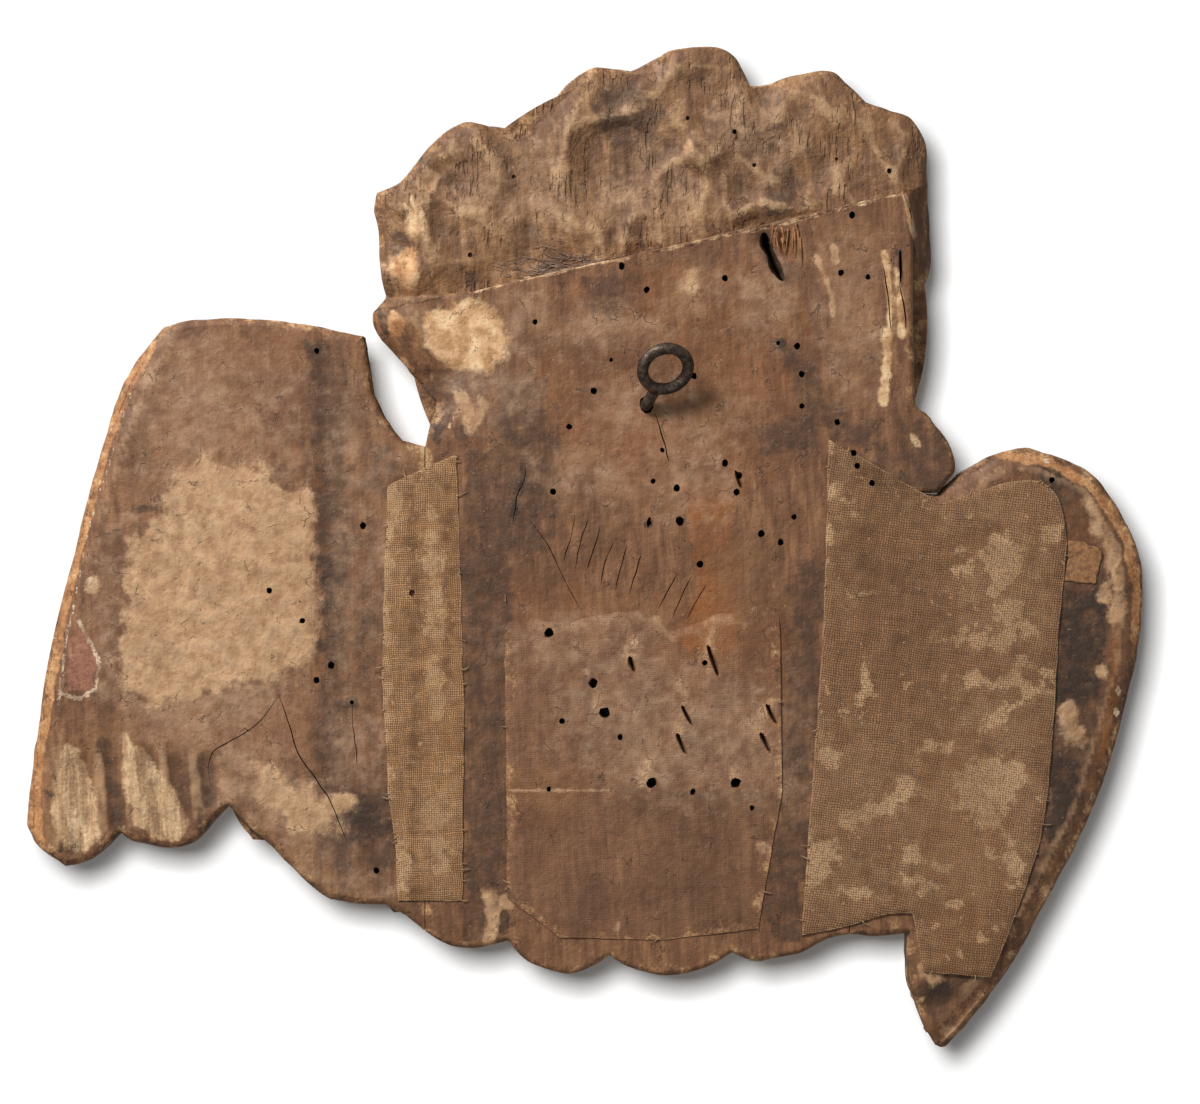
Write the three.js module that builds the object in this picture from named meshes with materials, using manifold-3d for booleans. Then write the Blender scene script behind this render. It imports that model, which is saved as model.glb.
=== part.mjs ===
// A carved limewood cherub head with two wings, made to hang flat against a wall.
// Millimetres, +Z up as it hangs. The flat back looks along +Y and the face along -Y.
// The origin is the centre of the iron eye screw's ring, on the back.
// Seen from behind, +X is to the left: it is the cherub's own left.

import * as THREE from "three";
import { mergeVertices } from "three/addons/utils/BufferGeometryUtils.js";
import Module from "manifold-3d";

const wasm = await Module();
wasm.setup();

// Driving dimensions

const BACK = -10; // the planed back; the ring's centre stands 10 mm off it
const GAP = 0.3; // between two pieces that touch

const BLOCK_DEPTH = 26; // the middle board, behind the face and the feathers
const WING_DEPTH = 19; // the boards of the two wings
const EDGE = 2; // the worn chamfer round the back
const CHISELLED = 4; // how far the back of the hair was cut in behind the stop cut
const HAIR_DEPTH = 24; // the scalloped rim of hair, before the curls stand up from it

const CROWN = { z: 14, radius: 92, rise: 50, steepest: 1 }; // the mass of the hair
const CROWN_PATCH = { x: -1, z: 16, wide: 87, high: 84 }; // the part of it that is carved
const CURL_BED = 4; // how far the mass under the curls lies behind their middles

const JOINT_LEFT = 80; // x of the glued joint of each wing
const JOINT_RIGHT = -61.5;

const HEAD_AT = [-3, -34, -18]; // the point between the eyes, at the depth of the ears
const LEAN = THREE.MathUtils.degToRad(7); // the crown leans to the cherub's left
const TURN = THREE.MathUtils.degToRad(11); // and the face turns the same way
const NOD = THREE.MathUtils.degToRad(5); // and looks down a little
const FACE_HALF = 72; // half the width of the face over the cheeks
const FACE_UP = 86; // from the eyes up to the top of the skull
const FACE_DOWN = 80; // and down to the chin
const FACE_DEPTH = 76; // from the ears forward to the brow

const CURL_TURNS = 1.25; // how far each lock winds
const CURL_START = 0.6; // radians past the way to the crown's middle, where a rim curl's lock comes out
const CURL_REACH = { outer: 0.66, inner: 0.1 }; // of the spiral, in shares of the curl's radius
const CURL_CLIMB = { foot: 2, middle: 7 }; // how high a lock lies above the hair where it starts and ends
const LOCK_SIZE = { start: 0.32, narrow: 0.1, flat: 0.08 }; // half sizes, and how much they shrink

const WING_RISE = 4; // how much higher a feather's root lies than its tip would on a flat board
const MIDDLE_ROW = { reach: 0.64, higher: 5, rise: WING_RISE, rows: 5 }; // reach: share of the long ones
const SHORT_ROW = { reach: 0.36, higher: 9, rise: WING_RISE, rows: 4 };
const COLLAR_LEVEL = BLOCK_DEPTH + 1; // the feathers under the chin
const COLLAR_RISE = 5;
const COLLAR_ROW = { reach: 0.64, higher: 5, rise: COLLAR_RISE, rows: 6 };
const BLADE = { widest: 0.65, root: 0.62, crest: 3, roll: 1.2 }; // a feather's outline, crest and slope
const ARM_SIZE = { wide: 8, high: 9, wideTip: 5, highTip: 5 }; // half sizes of the forearm

const WIRE = 1.95; // radius of the eye screw's wire
const RING = 7.7; // radius of the ring, to the middle of the wire
const SHANK_AT = [6.2, -11.6]; // where the shank goes into the back, x and z
const SHANK_DEPTH = 22; // how deep it goes in

const LINEN = 0.8; // thickness of the woven linen with its size
const PATCH = 0.5; // thickness of the finer, painted linen in the middle

// Outlines, as x and z. Each run is a smooth curve from the last point of the run before it,
// and the runs meet at corners.

const HAIR_OUTLINE = [
  [[76.5, -10.5], [86.5, 1.5], [96.5, 12.5], [97.5, 19.5], [93.5, 25.5]],
  [[95.5, 36], [96, 46.5], [97.5, 55], [96.5, 60]],
  [[88.5, 63.5], [83.5, 70], [78.5, 75.5], [71, 81.5], [65, 83.5], [59, 82]],
  [[51.5, 81.5], [45, 82], [39.5, 88]],
  [[32.5, 96.5], [25, 101.5], [17.5, 101.5], [11.5, 100.5]],
  [[5, 103.5], [-2.5, 107.5], [-15, 109], [-23.5, 105.5], [-28.5, 95.5]],
  [[-35.5, 96.5], [-45, 99.5], [-55.5, 100.5], [-61.5, 96], [-67.5, 90]],
  [[-75, 87.5], [-82.5, 84.5], [-87.5, 76.5], [-88, 63.5], [-89.5, 46.5], [-89.5, 34], [-83.5, 23.5]],
  [[-83, 6.5], [-83.5, -11.5]],
  [[-90, -18], [-95, -25], [-96.5, -33.5], [-91, -40.5]],
  [[-61.5, -40.5]],
  [[-40, -60]],
  [[60, -60]],
];

const BLOCK_OUTLINE = [
  [[93, 24.5]],
  [[65, 26]],
  [[-79.5, 59.5]],
  [[-82.5, 51.5]],
  [[-83, 6.5], [-83.5, -11.5]],
  [[-90, -18], [-95, -25], [-96.5, -33.5], [-91, -41]],
  [[JOINT_RIGHT, -41]],
  [[JOINT_RIGHT, -188]],
  [[-54.5, -189.5]],
  [[-45, -194.5], [-35.5, -196.5], [-29, -197], [-22.5, -194.5]],
  [[-13.5, -199.5], [-1, -202], [11, -199.5], [18.5, -195.5]],
  [[24.5, -199], [32.5, -201.5], [45, -197.5], [52.5, -190.5]],
  [[61.5, -192.5], [71.5, -192], [JOINT_LEFT, -187]],
  [[JOINT_LEFT, -25.5]],
  [[76.5, -10.5]],
  [[86.5, 1.5], [96.5, 12.5], [97.5, 19.5]],
];

const WING_LEFT_OUTLINE = [
  [[JOINT_LEFT, -25.5]],
  [[87.5, -23.5]],
  [[92.5, -17.5], [97, -7.5], [99, 2.5], [100.5, 11.5]],
  [[108.5, 13], [121.5, 15.5], [145, 17.5], [158.5, 16.5], [167.5, 14.5]],
  [[179, -0.5], [187.5, -23.5], [198, -63.5], [206.5, -103.5], [212.5, -141.5], [211.5, -156], [200, -165.5]],
  [[191.5, -163.5], [185, -157.5], [181.5, -154.5]],
  [[176.5, -157.5], [165, -159.5], [156.5, -157], [150.5, -150.5], [145.5, -145.5]],
  [[138.5, -152.5], [131.5, -158.5], [118.5, -172], [111.5, -176.5]],
  [[103.5, -178], [93.5, -178.5]],
  [[86.5, -182], [JOINT_LEFT, -187]],
];

const WING_RIGHT_OUTLINE = [
  [[JOINT_RIGHT, -41.3]],
  [[-91, -41.3]],
  [[-100, -33.5], [-111.5, -27.5], [-123.5, -26.5], [-143.5, -35.5], [-157.5, -58.5], [-159.5, -75],
    [-157, -98.5], [-143.5, -145], [-116.5, -196.5], [-96.5, -223.5], [-90.5, -225.5]],
  [[-85.5, -216.5], [-82, -205], [-80.5, -193.5], [-81.5, -187.5]],
  [[-75, -188.5], [-68.5, -189], [JOINT_RIGHT, -188]],
];

const STRIP_OUTLINE = [
  [[92.5, -38.5]],
  [[94.5, -99]],
  [[92.5, -140]],
  [[90, -156]],
  [[89, -177]],
  [[67.5, -177]],
  [[67, -110]],
  [[69.5, -28]],
];

const SHEET_OUTLINE = [
  [[-45.5, -188.5]],
  [[-62.5, -185], [-73.5, -181.5], [-82.5, -181]],
  [[-86, -200.5]],
  [[-108.5, -202.5]],
  [[-123.5, -162.5], [-128.5, -131.5], [-131, -90.5], [-134, -57]],
  [[-132, -45], [-125.5, -37.5], [-113, -37.5]],
  [[-92, -44.5]],
  [[-54.5, -23]],
  [[-53, -83]],
];

const PATCH_OUTLINE = [
  [[53.5, -77]],
  [[-38, -77]],
  [[-39, -140]],
  [[-31, -186]],
  [[0, -190]],
  [[35, -189]],
  [[52.5, -176]],
];

// Feathers that follow the outline: where each one starts and ends, its width and its bend

const LEFT_FLIGHT = [
  { root: [103, -28], tip: [88, -181], width: 31, bend: 2 },
  { root: [113, -14], tip: [110, -176], width: 32, bend: 3 },
  { root: [126, -4], tip: [135, -157], width: 33, bend: 3 },
  { root: [141, 4], tip: [165, -158.5], width: 35, bend: 4 },
  { root: [158, 10], tip: [199, -164.5], width: 34, bend: 6 },
];

const RIGHT_FLIGHT = [
  { root: [-82, -62], tip: [-66, -188], width: 32, bend: -3 },
  { root: [-98, -52], tip: [-78, -188], width: 33, bend: -6 },
  { root: [-116, -46], tip: [-86, -211], width: 34, bend: -12 },
  { root: [-134, -46], tip: [-90, -222], width: 31, bend: -12 },
];

const LEFT_ARM = [[90, -52], [100, -26], [109, -7], [126, 4], [158, 6], [179, -15], [191, -54]];
const RIGHT_ARM = [[-70, -66], [-89, -58], [-106, -44], [-124, -38], [-142, -50], [-149, -82]];

const COLLAR = [
  { root: [46, -78], tip: [66, -191], width: 34, bend: 0 },
  { root: [20, -84], tip: [33, -200.5], width: 36, bend: 0 },
  { root: [-6, -86], tip: [-2, -201], width: 42, bend: 0 },
  { root: [-34, -80], tip: [-40, -195], width: 38, bend: 0 },
];

// Curls on the rim of the hair: x and z of the middle, radius, and the way they wind

const RIM_CURLS = [
  { x: 73, z: 11, radius: 23, way: -1 },
  { x: 74, z: 42, radius: 27, way: 1 },
  { x: 49, z: 62, radius: 26, way: -1 },
  { x: 18, z: 82, radius: 26, way: 1 },
  { x: -15, z: 84, radius: 26, way: -1 },
  { x: -49, z: 77, radius: 27, way: 1 },
  { x: -70, z: 52, radius: 27, way: -1 },
  { x: -66, z: 14, radius: 23, way: 1 },
  { x: -78, z: -22, radius: 20, way: -1 },
];

const HAIRLINE_CURLS = 6; // a second row round the brow
const HAIRLINE = { x: -1, z: -6, wide: 58, high: 58, radius: 24, from: 4, to: 176 }; // degrees round the brow

// General shapes

function points(runs, step) {
  // The runs of an outline as one ring of points, about `step` apart along the curves.
  const ring = [];
  let last = runs[runs.length - 1][runs[runs.length - 1].length - 1];
  runs.forEach((run) => {
    const line = [last, ...run].map(([x, z]) => new THREE.Vector2(x, z));
    const curve = new THREE.SplineCurve(line);
    const parts = line.length > 2 ? Math.max(line.length - 1, Math.round(curve.getLength() / step)) : 1;
    ring.push(...curve.getPoints(parts).slice(1));
    last = run[run.length - 1];
  });
  return ring;
}

function solid(geometry) {
  // A closed mesh as a solid that can be joined and cut.
  geometry.deleteAttribute("normal");
  geometry.deleteAttribute("uv");
  const merged = mergeVertices(geometry, 1e-4);
  return new wasm.Manifold(
    new wasm.Mesh({
      numProp: 3,
      vertProperties: Float32Array.from(merged.attributes.position.array),
      triVerts: Uint32Array.from(merged.index.array),
    }),
  );
}

function board(runs, { back, depth, edge = 0, step = 7 }) {
  // An outline cut from a board: flat behind and in front, with a chamfer on both edges.
  const shape = new THREE.Shape(points(runs, step));
  const geometry = new THREE.ExtrudeGeometry(shape, {
    depth: depth - 2 * edge,
    bevelEnabled: edge > 0,
    bevelThickness: edge,
    bevelSize: edge,
    bevelOffset: -edge,
    bevelSegments: 1,
  });
  geometry.rotateX(Math.PI / 2);
  geometry.translate(0, back - edge, 0);
  return solid(geometry);
}

function relief(columns, rows, floor, surface) {
  // A raised form: a grid of points in front, straight walls round it and a flat floor behind.
  const at = [];
  const index = [];
  for (let j = 0; j <= rows; j += 1) {
    for (let i = 0; i <= columns; i += 1) {
      at.push(surface(i / columns, j / rows));
    }
  }
  const id = (i, j) => j * (columns + 1) + i;
  for (let j = 0; j < rows; j += 1) {
    for (let i = 0; i < columns; i += 1) {
      index.push(id(i, j), id(i + 1, j), id(i + 1, j + 1), id(i, j), id(i + 1, j + 1), id(i, j + 1));
    }
  }
  const rim = [];
  for (let i = 0; i < columns; i += 1) rim.push(id(i, 0));
  for (let j = 0; j < rows; j += 1) rim.push(id(columns, j));
  for (let i = columns; i > 0; i -= 1) rim.push(id(i, rows));
  for (let j = rows; j > 0; j -= 1) rim.push(id(0, j));
  const foot = rim.map((k) => at.push(new THREE.Vector3(at[k].x, floor, at[k].z)) - 1);
  const middle = foot.reduce((sum, k) => sum.add(at[k]), new THREE.Vector3()).divideScalar(foot.length);
  const centre = at.push(middle) - 1;
  rim.forEach((k, n) => {
    const next = (n + 1) % rim.length;
    index.push(k, foot[n], foot[next], k, foot[next], rim[next]);
    index.push(foot[n], centre, foot[next]);
  });
  return solid(facingOut(at, index));
}

function facingOut(at, index) {
  // A geometry whose faces point out, whichever way round its points were given.
  let volume = 0;
  for (let n = 0; n < index.length; n += 3) {
    const [a, b, c] = [at[index[n]], at[index[n + 1]], at[index[n + 2]]];
    volume += a.dot(new THREE.Vector3().crossVectors(b, c));
  }
  const geometry = new THREE.BufferGeometry().setFromPoints(at);
  geometry.setIndex(volume > 0 ? index : [...index].reverse());
  return geometry;
}

function skin(rings, start, finish) {
  // Rings of points one after the other, closed with a point at each end.
  const at = [...rings.flat(), start, finish];
  const index = [];
  const sides = rings[0].length;
  const last = (rings.length - 1) * sides;
  for (let k = 0; k < sides; k += 1) {
    const next = (k + 1) % sides;
    for (let n = 0; n < last; n += sides) {
      index.push(n + k, n + next, n + sides + next, n + k, n + sides + next, n + sides + k);
    }
    index.push(at.length - 2, next, k);
    index.push(at.length - 1, last + k, last + next);
  }
  return facingOut(at, index);
}

function oval(middle, across, up, wide, tall, sides) {
  // A ring of points about `middle`, `wide` to each side and `tall` up and down.
  return Array.from({ length: sides }, (_, k) => {
    const turn = (2 * Math.PI * k) / sides;
    return middle
      .clone()
      .addScaledVector(across, wide * Math.cos(turn))
      .addScaledVector(up, tall * Math.sin(turn));
  });
}

function lock(path, { steps, sides, size, front }) {
  // A carved lock or roll: an oval along a path, its flat side square to `front`.
  // size(t) gives half its width across the path and half its height towards the front.
  const rings = [];
  for (let n = 0; n <= steps; n += 1) {
    const along = path.getTangentAt(n / steps);
    const across = new THREE.Vector3().crossVectors(along, front).normalize();
    const up = new THREE.Vector3().crossVectors(across, along).normalize();
    rings.push(oval(path.getPointAt(n / steps), across, up, ...size(n / steps), sides));
  }
  return solid(skin(rings, path.getPointAt(0), path.getPointAt(1)));
}

// The face, from the point between the eyes: u across and v up, in half face widths

function swell(u, v, atU, atV, wide, tall) {
  return Math.exp(-(((u - atU) / wide) ** 2) - ((v - atV) / tall) ** 2);
}

function nose(m, v) {
  // A bridge that rises to a round tip and turns under, with its two wings.
  const down = THREE.MathUtils.clamp((0.14 - v) / 0.52, 0, 1);
  const under = THREE.MathUtils.smoothstep(v, -0.52, -0.4);
  const ridge = (2 + 12 * down ** 1.4) * THREE.MathUtils.smoothstep(0.3 - v, 0, 0.25) * under;
  return ridge * Math.exp(-((m / (0.09 + 0.07 * down)) ** 2)) + 5 * swell(m, v, 0.15, -0.41, 0.07, 0.07);
}

function features(u, v) {
  // How far the carving stands above the plain oval of the head, in millimetres.
  const m = Math.abs(u);
  return (
    3.5 * swell(m, v, 0.36, 0.25, 0.26, 0.1) + // brows
    -10 * swell(m, v, 0.4, 0.02, 0.22, 0.15) + // sockets of the eyes
    9.5 * swell(m, v, 0.41, -0.01, 0.13, 0.085) + // eyes
    7 * swell(m, v, 0.5, -0.42, 0.26, 0.26) + // cheeks
    nose(m, v) +
    5.5 * swell(u, v, 0, -0.62, 0.2, 0.06) + // upper lip
    5 * swell(u, v, 0, -0.75, 0.16, 0.06) + // lower lip
    -2.5 * swell(m, v, 0.27, -0.66, 0.06, 0.07) + // corners of the mouth
    -3 * swell(u, v, 0, -0.685, 0.2, 0.025) + // the closed mouth
    8 * swell(u, v, 0, -0.98, 0.2, 0.13) // chin
  );
}

function headPoint(across, forward, up) {
  // A point of the head's own frame, turned and placed in the part's frame.
  return new THREE.Vector3(across, -forward, up)
    .applyAxisAngle(new THREE.Vector3(1, 0, 0), NOD)
    .applyAxisAngle(new THREE.Vector3(0, 0, 1), TURN)
    .applyAxisAngle(new THREE.Vector3(0, 1, 0), LEAN)
    .add(new THREE.Vector3(...HEAD_AT));
}

function face(count) {
  return relief(count, count, HEAD_AT[1] + 10, (s, t) => {
    const [p, q] = [2 * s - 1, 2 * t - 1];
    const x = p * Math.sqrt(1 - (q * q) / 2);
    const z = q * Math.sqrt(1 - (p * p) / 2);
    const reach = Math.min(1, Math.hypot(x, z));
    const open = (reach * (0.64 + 0.36 * reach * reach) * Math.PI) / 2; // closer together over the features
    const spread = reach > 0 ? Math.sin(open) / reach : Math.PI / 2;
    const v = z * spread;
    const narrowing = v < 0 ? 1 - 0.2 * v * v : 1;
    const across = FACE_HALF * x * spread * narrowing;
    const up = v * (v > 0 ? FACE_UP : FACE_DOWN);
    const raised = features(across / FACE_HALF, up / FACE_HALF) * Math.cos(open) ** 0.3;
    return headPoint(across, FACE_DEPTH * Math.cos(open) ** 0.6 + raised, up);
  });
}

// Hair

function crownDepth(x, z) {
  // Where the front of the hair's mass lies at x and z.
  const r = Math.min(1, Math.hypot(x, z - CROWN.z) / CROWN.radius);
  return BACK - HAIR_DEPTH - CROWN.rise * Math.sqrt(1 - r * r) ** 1.1;
}

function crownSlope(x, z) {
  // How steeply that front falls away, across and up, no steeper than a curl can lie.
  const step = 2;
  const slopes = [
    (crownDepth(x + step, z) - crownDepth(x - step, z)) / (2 * step),
    (crownDepth(x, z + step) - crownDepth(x, z - step)) / (2 * step),
  ];
  const steep = Math.max(1, Math.hypot(...slopes) / CROWN.steepest);
  return slopes.map((slope) => slope / steep);
}

function crown(count) {
  return relief(count, count, BACK - CHISELLED - 4, (s, t) => {
    const [p, q] = [2 * s - 1, 2 * t - 1];
    const x = CROWN_PATCH.x + CROWN_PATCH.wide * p * Math.sqrt(1 - (q * q) / 2);
    const z = CROWN_PATCH.z + CROWN_PATCH.high * q * Math.sqrt(1 - (p * p) / 2);
    return new THREE.Vector3(x, crownDepth(x, z) + CURL_BED, z);
  });
}

function curl({ x, z, radius, way, start }) {
  // A lock that winds into a snail curl and lies on the mass of the hair, its middle raised.
  const [slopeX, slopeZ] = crownSlope(x, z);
  const out = new THREE.Vector3(slopeX, -1, slopeZ).normalize(); // the way the curl faces
  const side = new THREE.Vector3(1, 0, 0).addScaledVector(out, -out.x).normalize();
  const up = new THREE.Vector3().crossVectors(side, out).multiplyScalar(-1);
  const middle = new THREE.Vector3(x, crownDepth(x, z), z);
  const at = [];
  for (let n = 0; n <= 10; n += 1) {
    const t = n / 10;
    const angle = start + way * 2 * Math.PI * CURL_TURNS * t;
    const reach = radius * THREE.MathUtils.lerp(CURL_REACH.outer, CURL_REACH.inner, t);
    at.push(
      middle
        .clone()
        .addScaledVector(side, reach * Math.cos(angle))
        .addScaledVector(up, reach * Math.sin(angle))
        .addScaledVector(out, THREE.MathUtils.lerp(CURL_CLIMB.foot, CURL_CLIMB.middle, t)),
    );
  }
  const size = (t) => [LOCK_SIZE.narrow, LOCK_SIZE.flat].map((less) => radius * (LOCK_SIZE.start - less * t));
  return lock(new THREE.CatmullRomCurve3(at), { steps: 12, sides: 5, size, front: out });
}

function rimCurls() {
  return RIM_CURLS.map((one) => {
    const start = Math.atan2(CROWN.z - one.z, -one.x) + one.way * CURL_START;
    return curl({ ...one, start });
  });
}

function hairlineCurls() {
  const { x, z, wide, high, radius, from, to } = HAIRLINE;
  const list = [];
  for (let n = 0; n < HAIRLINE_CURLS; n += 1) {
    const angle = THREE.MathUtils.degToRad(from + ((to - from) * n) / (HAIRLINE_CURLS - 1));
    const way = n < HAIRLINE_CURLS / 2 ? 1 : -1;
    const at = { x: x + wide * Math.cos(angle), z: z + high * Math.sin(angle) };
    list.push(curl({ ...at, radius, way, start: angle }));
  }
  return list;
}

// Feathers

function feather({ root, tip, width, bend }, { level, rise, rows = 6 }) {
  // One blade: widest two thirds of the way down, round at the tip, with a ridge along it.
  const from = new THREE.Vector2(...root);
  const along = new THREE.Vector2(...tip).sub(from);
  const side = new THREE.Vector2(-along.y, along.x).normalize();
  return relief(2, rows, BACK - 6, (s, t) => {
    const across = 2 * s - 1;
    const opening = Math.sin(Math.min(1, t / BLADE.widest) * (Math.PI / 2));
    const taper = BLADE.root + (1 - BLADE.root) * opening;
    const past = Math.max(0, (t - BLADE.widest) / (1 - BLADE.widest));
    const round = Math.sqrt(Math.max(0.03, 1 - past ** 2)); // the tip keeps a little width
    const point = from
      .clone()
      .addScaledVector(along, t)
      .addScaledVector(side, bend * 4 * t * (1 - t) + (width / 2) * across * taper * round);
    const crest = BLADE.crest * (1 - Math.abs(across)) - BLADE.roll * across;
    const front = level + rise * (1 - 0.5 * t) + crest * round;
    return new THREE.Vector3(point.x, BACK - front, point.y);
  });
}

function between(a, b, share, reach) {
  // A shorter feather `share` of the way from one long feather to the next.
  const mix = (p, q) => THREE.MathUtils.lerp(p, q, share);
  const root = [mix(a.root[0], b.root[0]), mix(a.root[1], b.root[1])];
  const tip = [mix(a.tip[0], b.tip[0]), mix(a.tip[1], b.tip[1])];
  return {
    root,
    tip: [root[0] + (tip[0] - root[0]) * reach, root[1] + (tip[1] - root[1]) * reach],
    width: mix(a.width, b.width),
    bend: mix(a.bend, b.bend) * reach,
  };
}

function arm(route, level) {
  // The rounded forearm along the top of a wing, which the short feathers start under.
  const path = new THREE.CatmullRomCurve3(route.map(([x, z]) => new THREE.Vector3(x, BACK - level, z)));
  const { wide, high, wideTip, highTip } = ARM_SIZE;
  const size = (t) => [THREE.MathUtils.lerp(wide, wideTip, t), THREE.MathUtils.lerp(high, highTip, t)];
  return lock(path, { steps: 9, sides: 6, size, front: new THREE.Vector3(0, -1, 0) });
}

function covert(a, b, share, row, level) {
  // A shorter feather of one row, which stands higher above the board than the long ones.
  const { reach, higher, rise, rows } = row;
  return feather(between(a, b, share, reach), { level: level + higher, rise, rows });
}

function plumage(flight, level) {
  // The long feathers, then two rows of coverts like roof tiles, each row standing higher.
  const long = flight.map((one) => feather(one, { level, rise: WING_RISE }));
  const middle = flight.slice(1).map((one, n) => covert(flight[n], one, 0.5, MIDDLE_ROW, level));
  const short = flight.map((one) => covert(one, one, 0, SHORT_ROW, level));
  return [...long, ...middle, ...short];
}

// Iron

const RING_ALONG = new THREE.Vector3(-0.94, 0, 0.342).normalize(); // the ring's longer way, seen from behind
const RING_AXIS = new THREE.Vector3(-0.191, 0.829, -0.526).normalize();

function ring() {
  const across = new THREE.Vector3().crossVectors(RING_AXIS, RING_ALONG).normalize();
  const along = new THREE.Vector3().crossVectors(across, RING_AXIS);
  const turn = new THREE.Matrix4().makeBasis(along, across, RING_AXIS);
  return solid(new THREE.TorusGeometry(RING, WIRE, 7, 20).applyMatrix4(turn));
}

function shank() {
  // From the foot of the ring it bends into the hole, then runs straight in and tapers.
  const [x, z] = SHANK_AT;
  const steps = 12;
  const route = [
    [3.2, -4.2, -6.6],
    [5, -6.4, -9.6],
    [x, BACK + 1.2, z],
    [x, BACK - 4, z],
    [x, BACK - 12, z],
    [x, BACK - SHANK_DEPTH, z],
  ];
  const path = new THREE.CatmullRomCurve3(route.map((at) => new THREE.Vector3(...at)));
  const frames = path.computeFrenetFrames(steps, false);
  const rings = frames.normals.map((across, n) => {
    const radius = WIRE * Math.min(1, 1.9 - (1.2 * n) / steps);
    return oval(path.getPointAt(n / steps), across, frames.binormals[n], radius, radius, 7);
  });
  return solid(skin(rings, path.getPointAt(0), path.getPointAt(1)));
}

function screwHole() {
  const [x, z] = SHANK_AT;
  const radius = WIRE + GAP + 0.1;
  const hole = new THREE.CylinderGeometry(radius, radius, SHANK_DEPTH + 4, 12);
  return solid(hole.translate(x, BACK - SHANK_DEPTH / 2 + 0.5, z));
}

// Pieces

function union(list) {
  return list.reduce((all, one) => all.add(one));
}

function onePiece(body) {
  // The piece itself, without the hair-thin slivers that a join can leave beside it.
  return body.decompose().reduce((best, one) => (one.volume() > best.volume() ? one : best));
}

function headBlock() {
  const rim = board(HAIR_OUTLINE, { back: BACK - CHISELLED, depth: HAIR_DEPTH, edge: EDGE });
  const middle = board(BLOCK_OUTLINE, { back: BACK, depth: BLOCK_DEPTH, edge: EDGE });
  const long = COLLAR.map((one) => feather(one, { level: COLLAR_LEVEL, rise: COLLAR_RISE }));
  const short = COLLAR.slice(1).map((one, n) => covert(COLLAR[n], one, 0.5, COLLAR_ROW, COLLAR_LEVEL));
  return union([rim, middle, crown(8), face(25), ...rimCurls(), ...hairlineCurls(), ...long, ...short])
    .subtract(screwHole())
    .subtract(beside(JOINT_LEFT - GAP / 2, 1))
    .subtract(beside(JOINT_RIGHT + GAP / 2, -1));
}

function beside(x, way) {
  // All that lies past a joint, below the curls, where the wing begins.
  const low = new THREE.BoxGeometry(80, 200, 200);
  return solid(low.translate(x + way * 40, 0, way > 0 ? -125.5 : -141));
}

function wing({ outline, flight, route, joint, way }) {
  const base = board(outline, { back: BACK, depth: WING_DEPTH, edge: EDGE });
  const past = new THREE.BoxGeometry(120, 200, 400).translate(joint - way * 60, 0, 0);
  return union([base, ...plumage(flight, WING_DEPTH - 2), arm(route, WING_DEPTH + 6)]).subtract(solid(past));
}

function linen(runs, thickness) {
  return board(runs, { back: BACK + GAP + thickness, depth: thickness });
}

const cherub = new THREE.Group();

function addPiece(name, body, { color, roughness, metalness = 0 }) {
  const { numProp, vertProperties, triVerts } = onePiece(body).getMesh();
  const at = new Float32Array((vertProperties.length / numProp) * 3);
  for (let n = 0; n < at.length / 3; n += 1) {
    at.set(vertProperties.subarray(n * numProp, n * numProp + 3), n * 3);
  }
  const geometry = new THREE.BufferGeometry();
  geometry.setAttribute("position", new THREE.BufferAttribute(at, 3));
  geometry.setIndex(Array.from(triVerts));
  const mesh = new THREE.Mesh(geometry, new THREE.MeshStandardMaterial({ color, roughness, metalness }));
  mesh.name = name;
  cherub.add(mesh);
}

const LEFT_WING = {
  outline: WING_LEFT_OUTLINE,
  flight: LEFT_FLIGHT,
  route: LEFT_ARM,
  joint: JOINT_LEFT + GAP / 2,
  way: 1,
};
const RIGHT_WING = {
  outline: WING_RIGHT_OUTLINE,
  flight: RIGHT_FLIGHT,
  route: RIGHT_ARM,
  joint: JOINT_RIGHT - GAP / 2,
  way: -1,
};
const WOOD = { color: "#86664e", roughness: 0.75 };
const CLOTH = { color: "#8d694c", roughness: 0.95 };
const IRON = { color: "#45382f", roughness: 0.55, metalness: 0.7 };

addPiece("head_block", headBlock(), WOOD);
addPiece("wing_left", wing(LEFT_WING), WOOD);
addPiece("wing_right", wing(RIGHT_WING), WOOD);
addPiece("linen_strip_left_joint", linen(STRIP_OUTLINE, LINEN), CLOTH);
addPiece("linen_sheet_right_joint", linen(SHEET_OUTLINE, LINEN), CLOTH);
addPiece("linen_patch_centre", linen(PATCH_OUTLINE, PATCH), CLOTH);
addPiece("eye_screw", ring().add(shank()), IRON);

export default cherub;
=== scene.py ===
"""Looks of a carved and once gilded limewood cherub head with two wings, seen from its planed back.

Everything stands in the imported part's frame: +Z up, the back towards +Y, the face towards -Y. Shapes are
worked out in millimetres with numpy and become metres only when they turn into meshes. Places on the back
are given as the photograph shows them, three of its pixels to a millimetre.
"""

import itertools
import logging
import math
from collections.abc import Callable, Sequence
from dataclasses import dataclass, field
from enum import Enum

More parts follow.
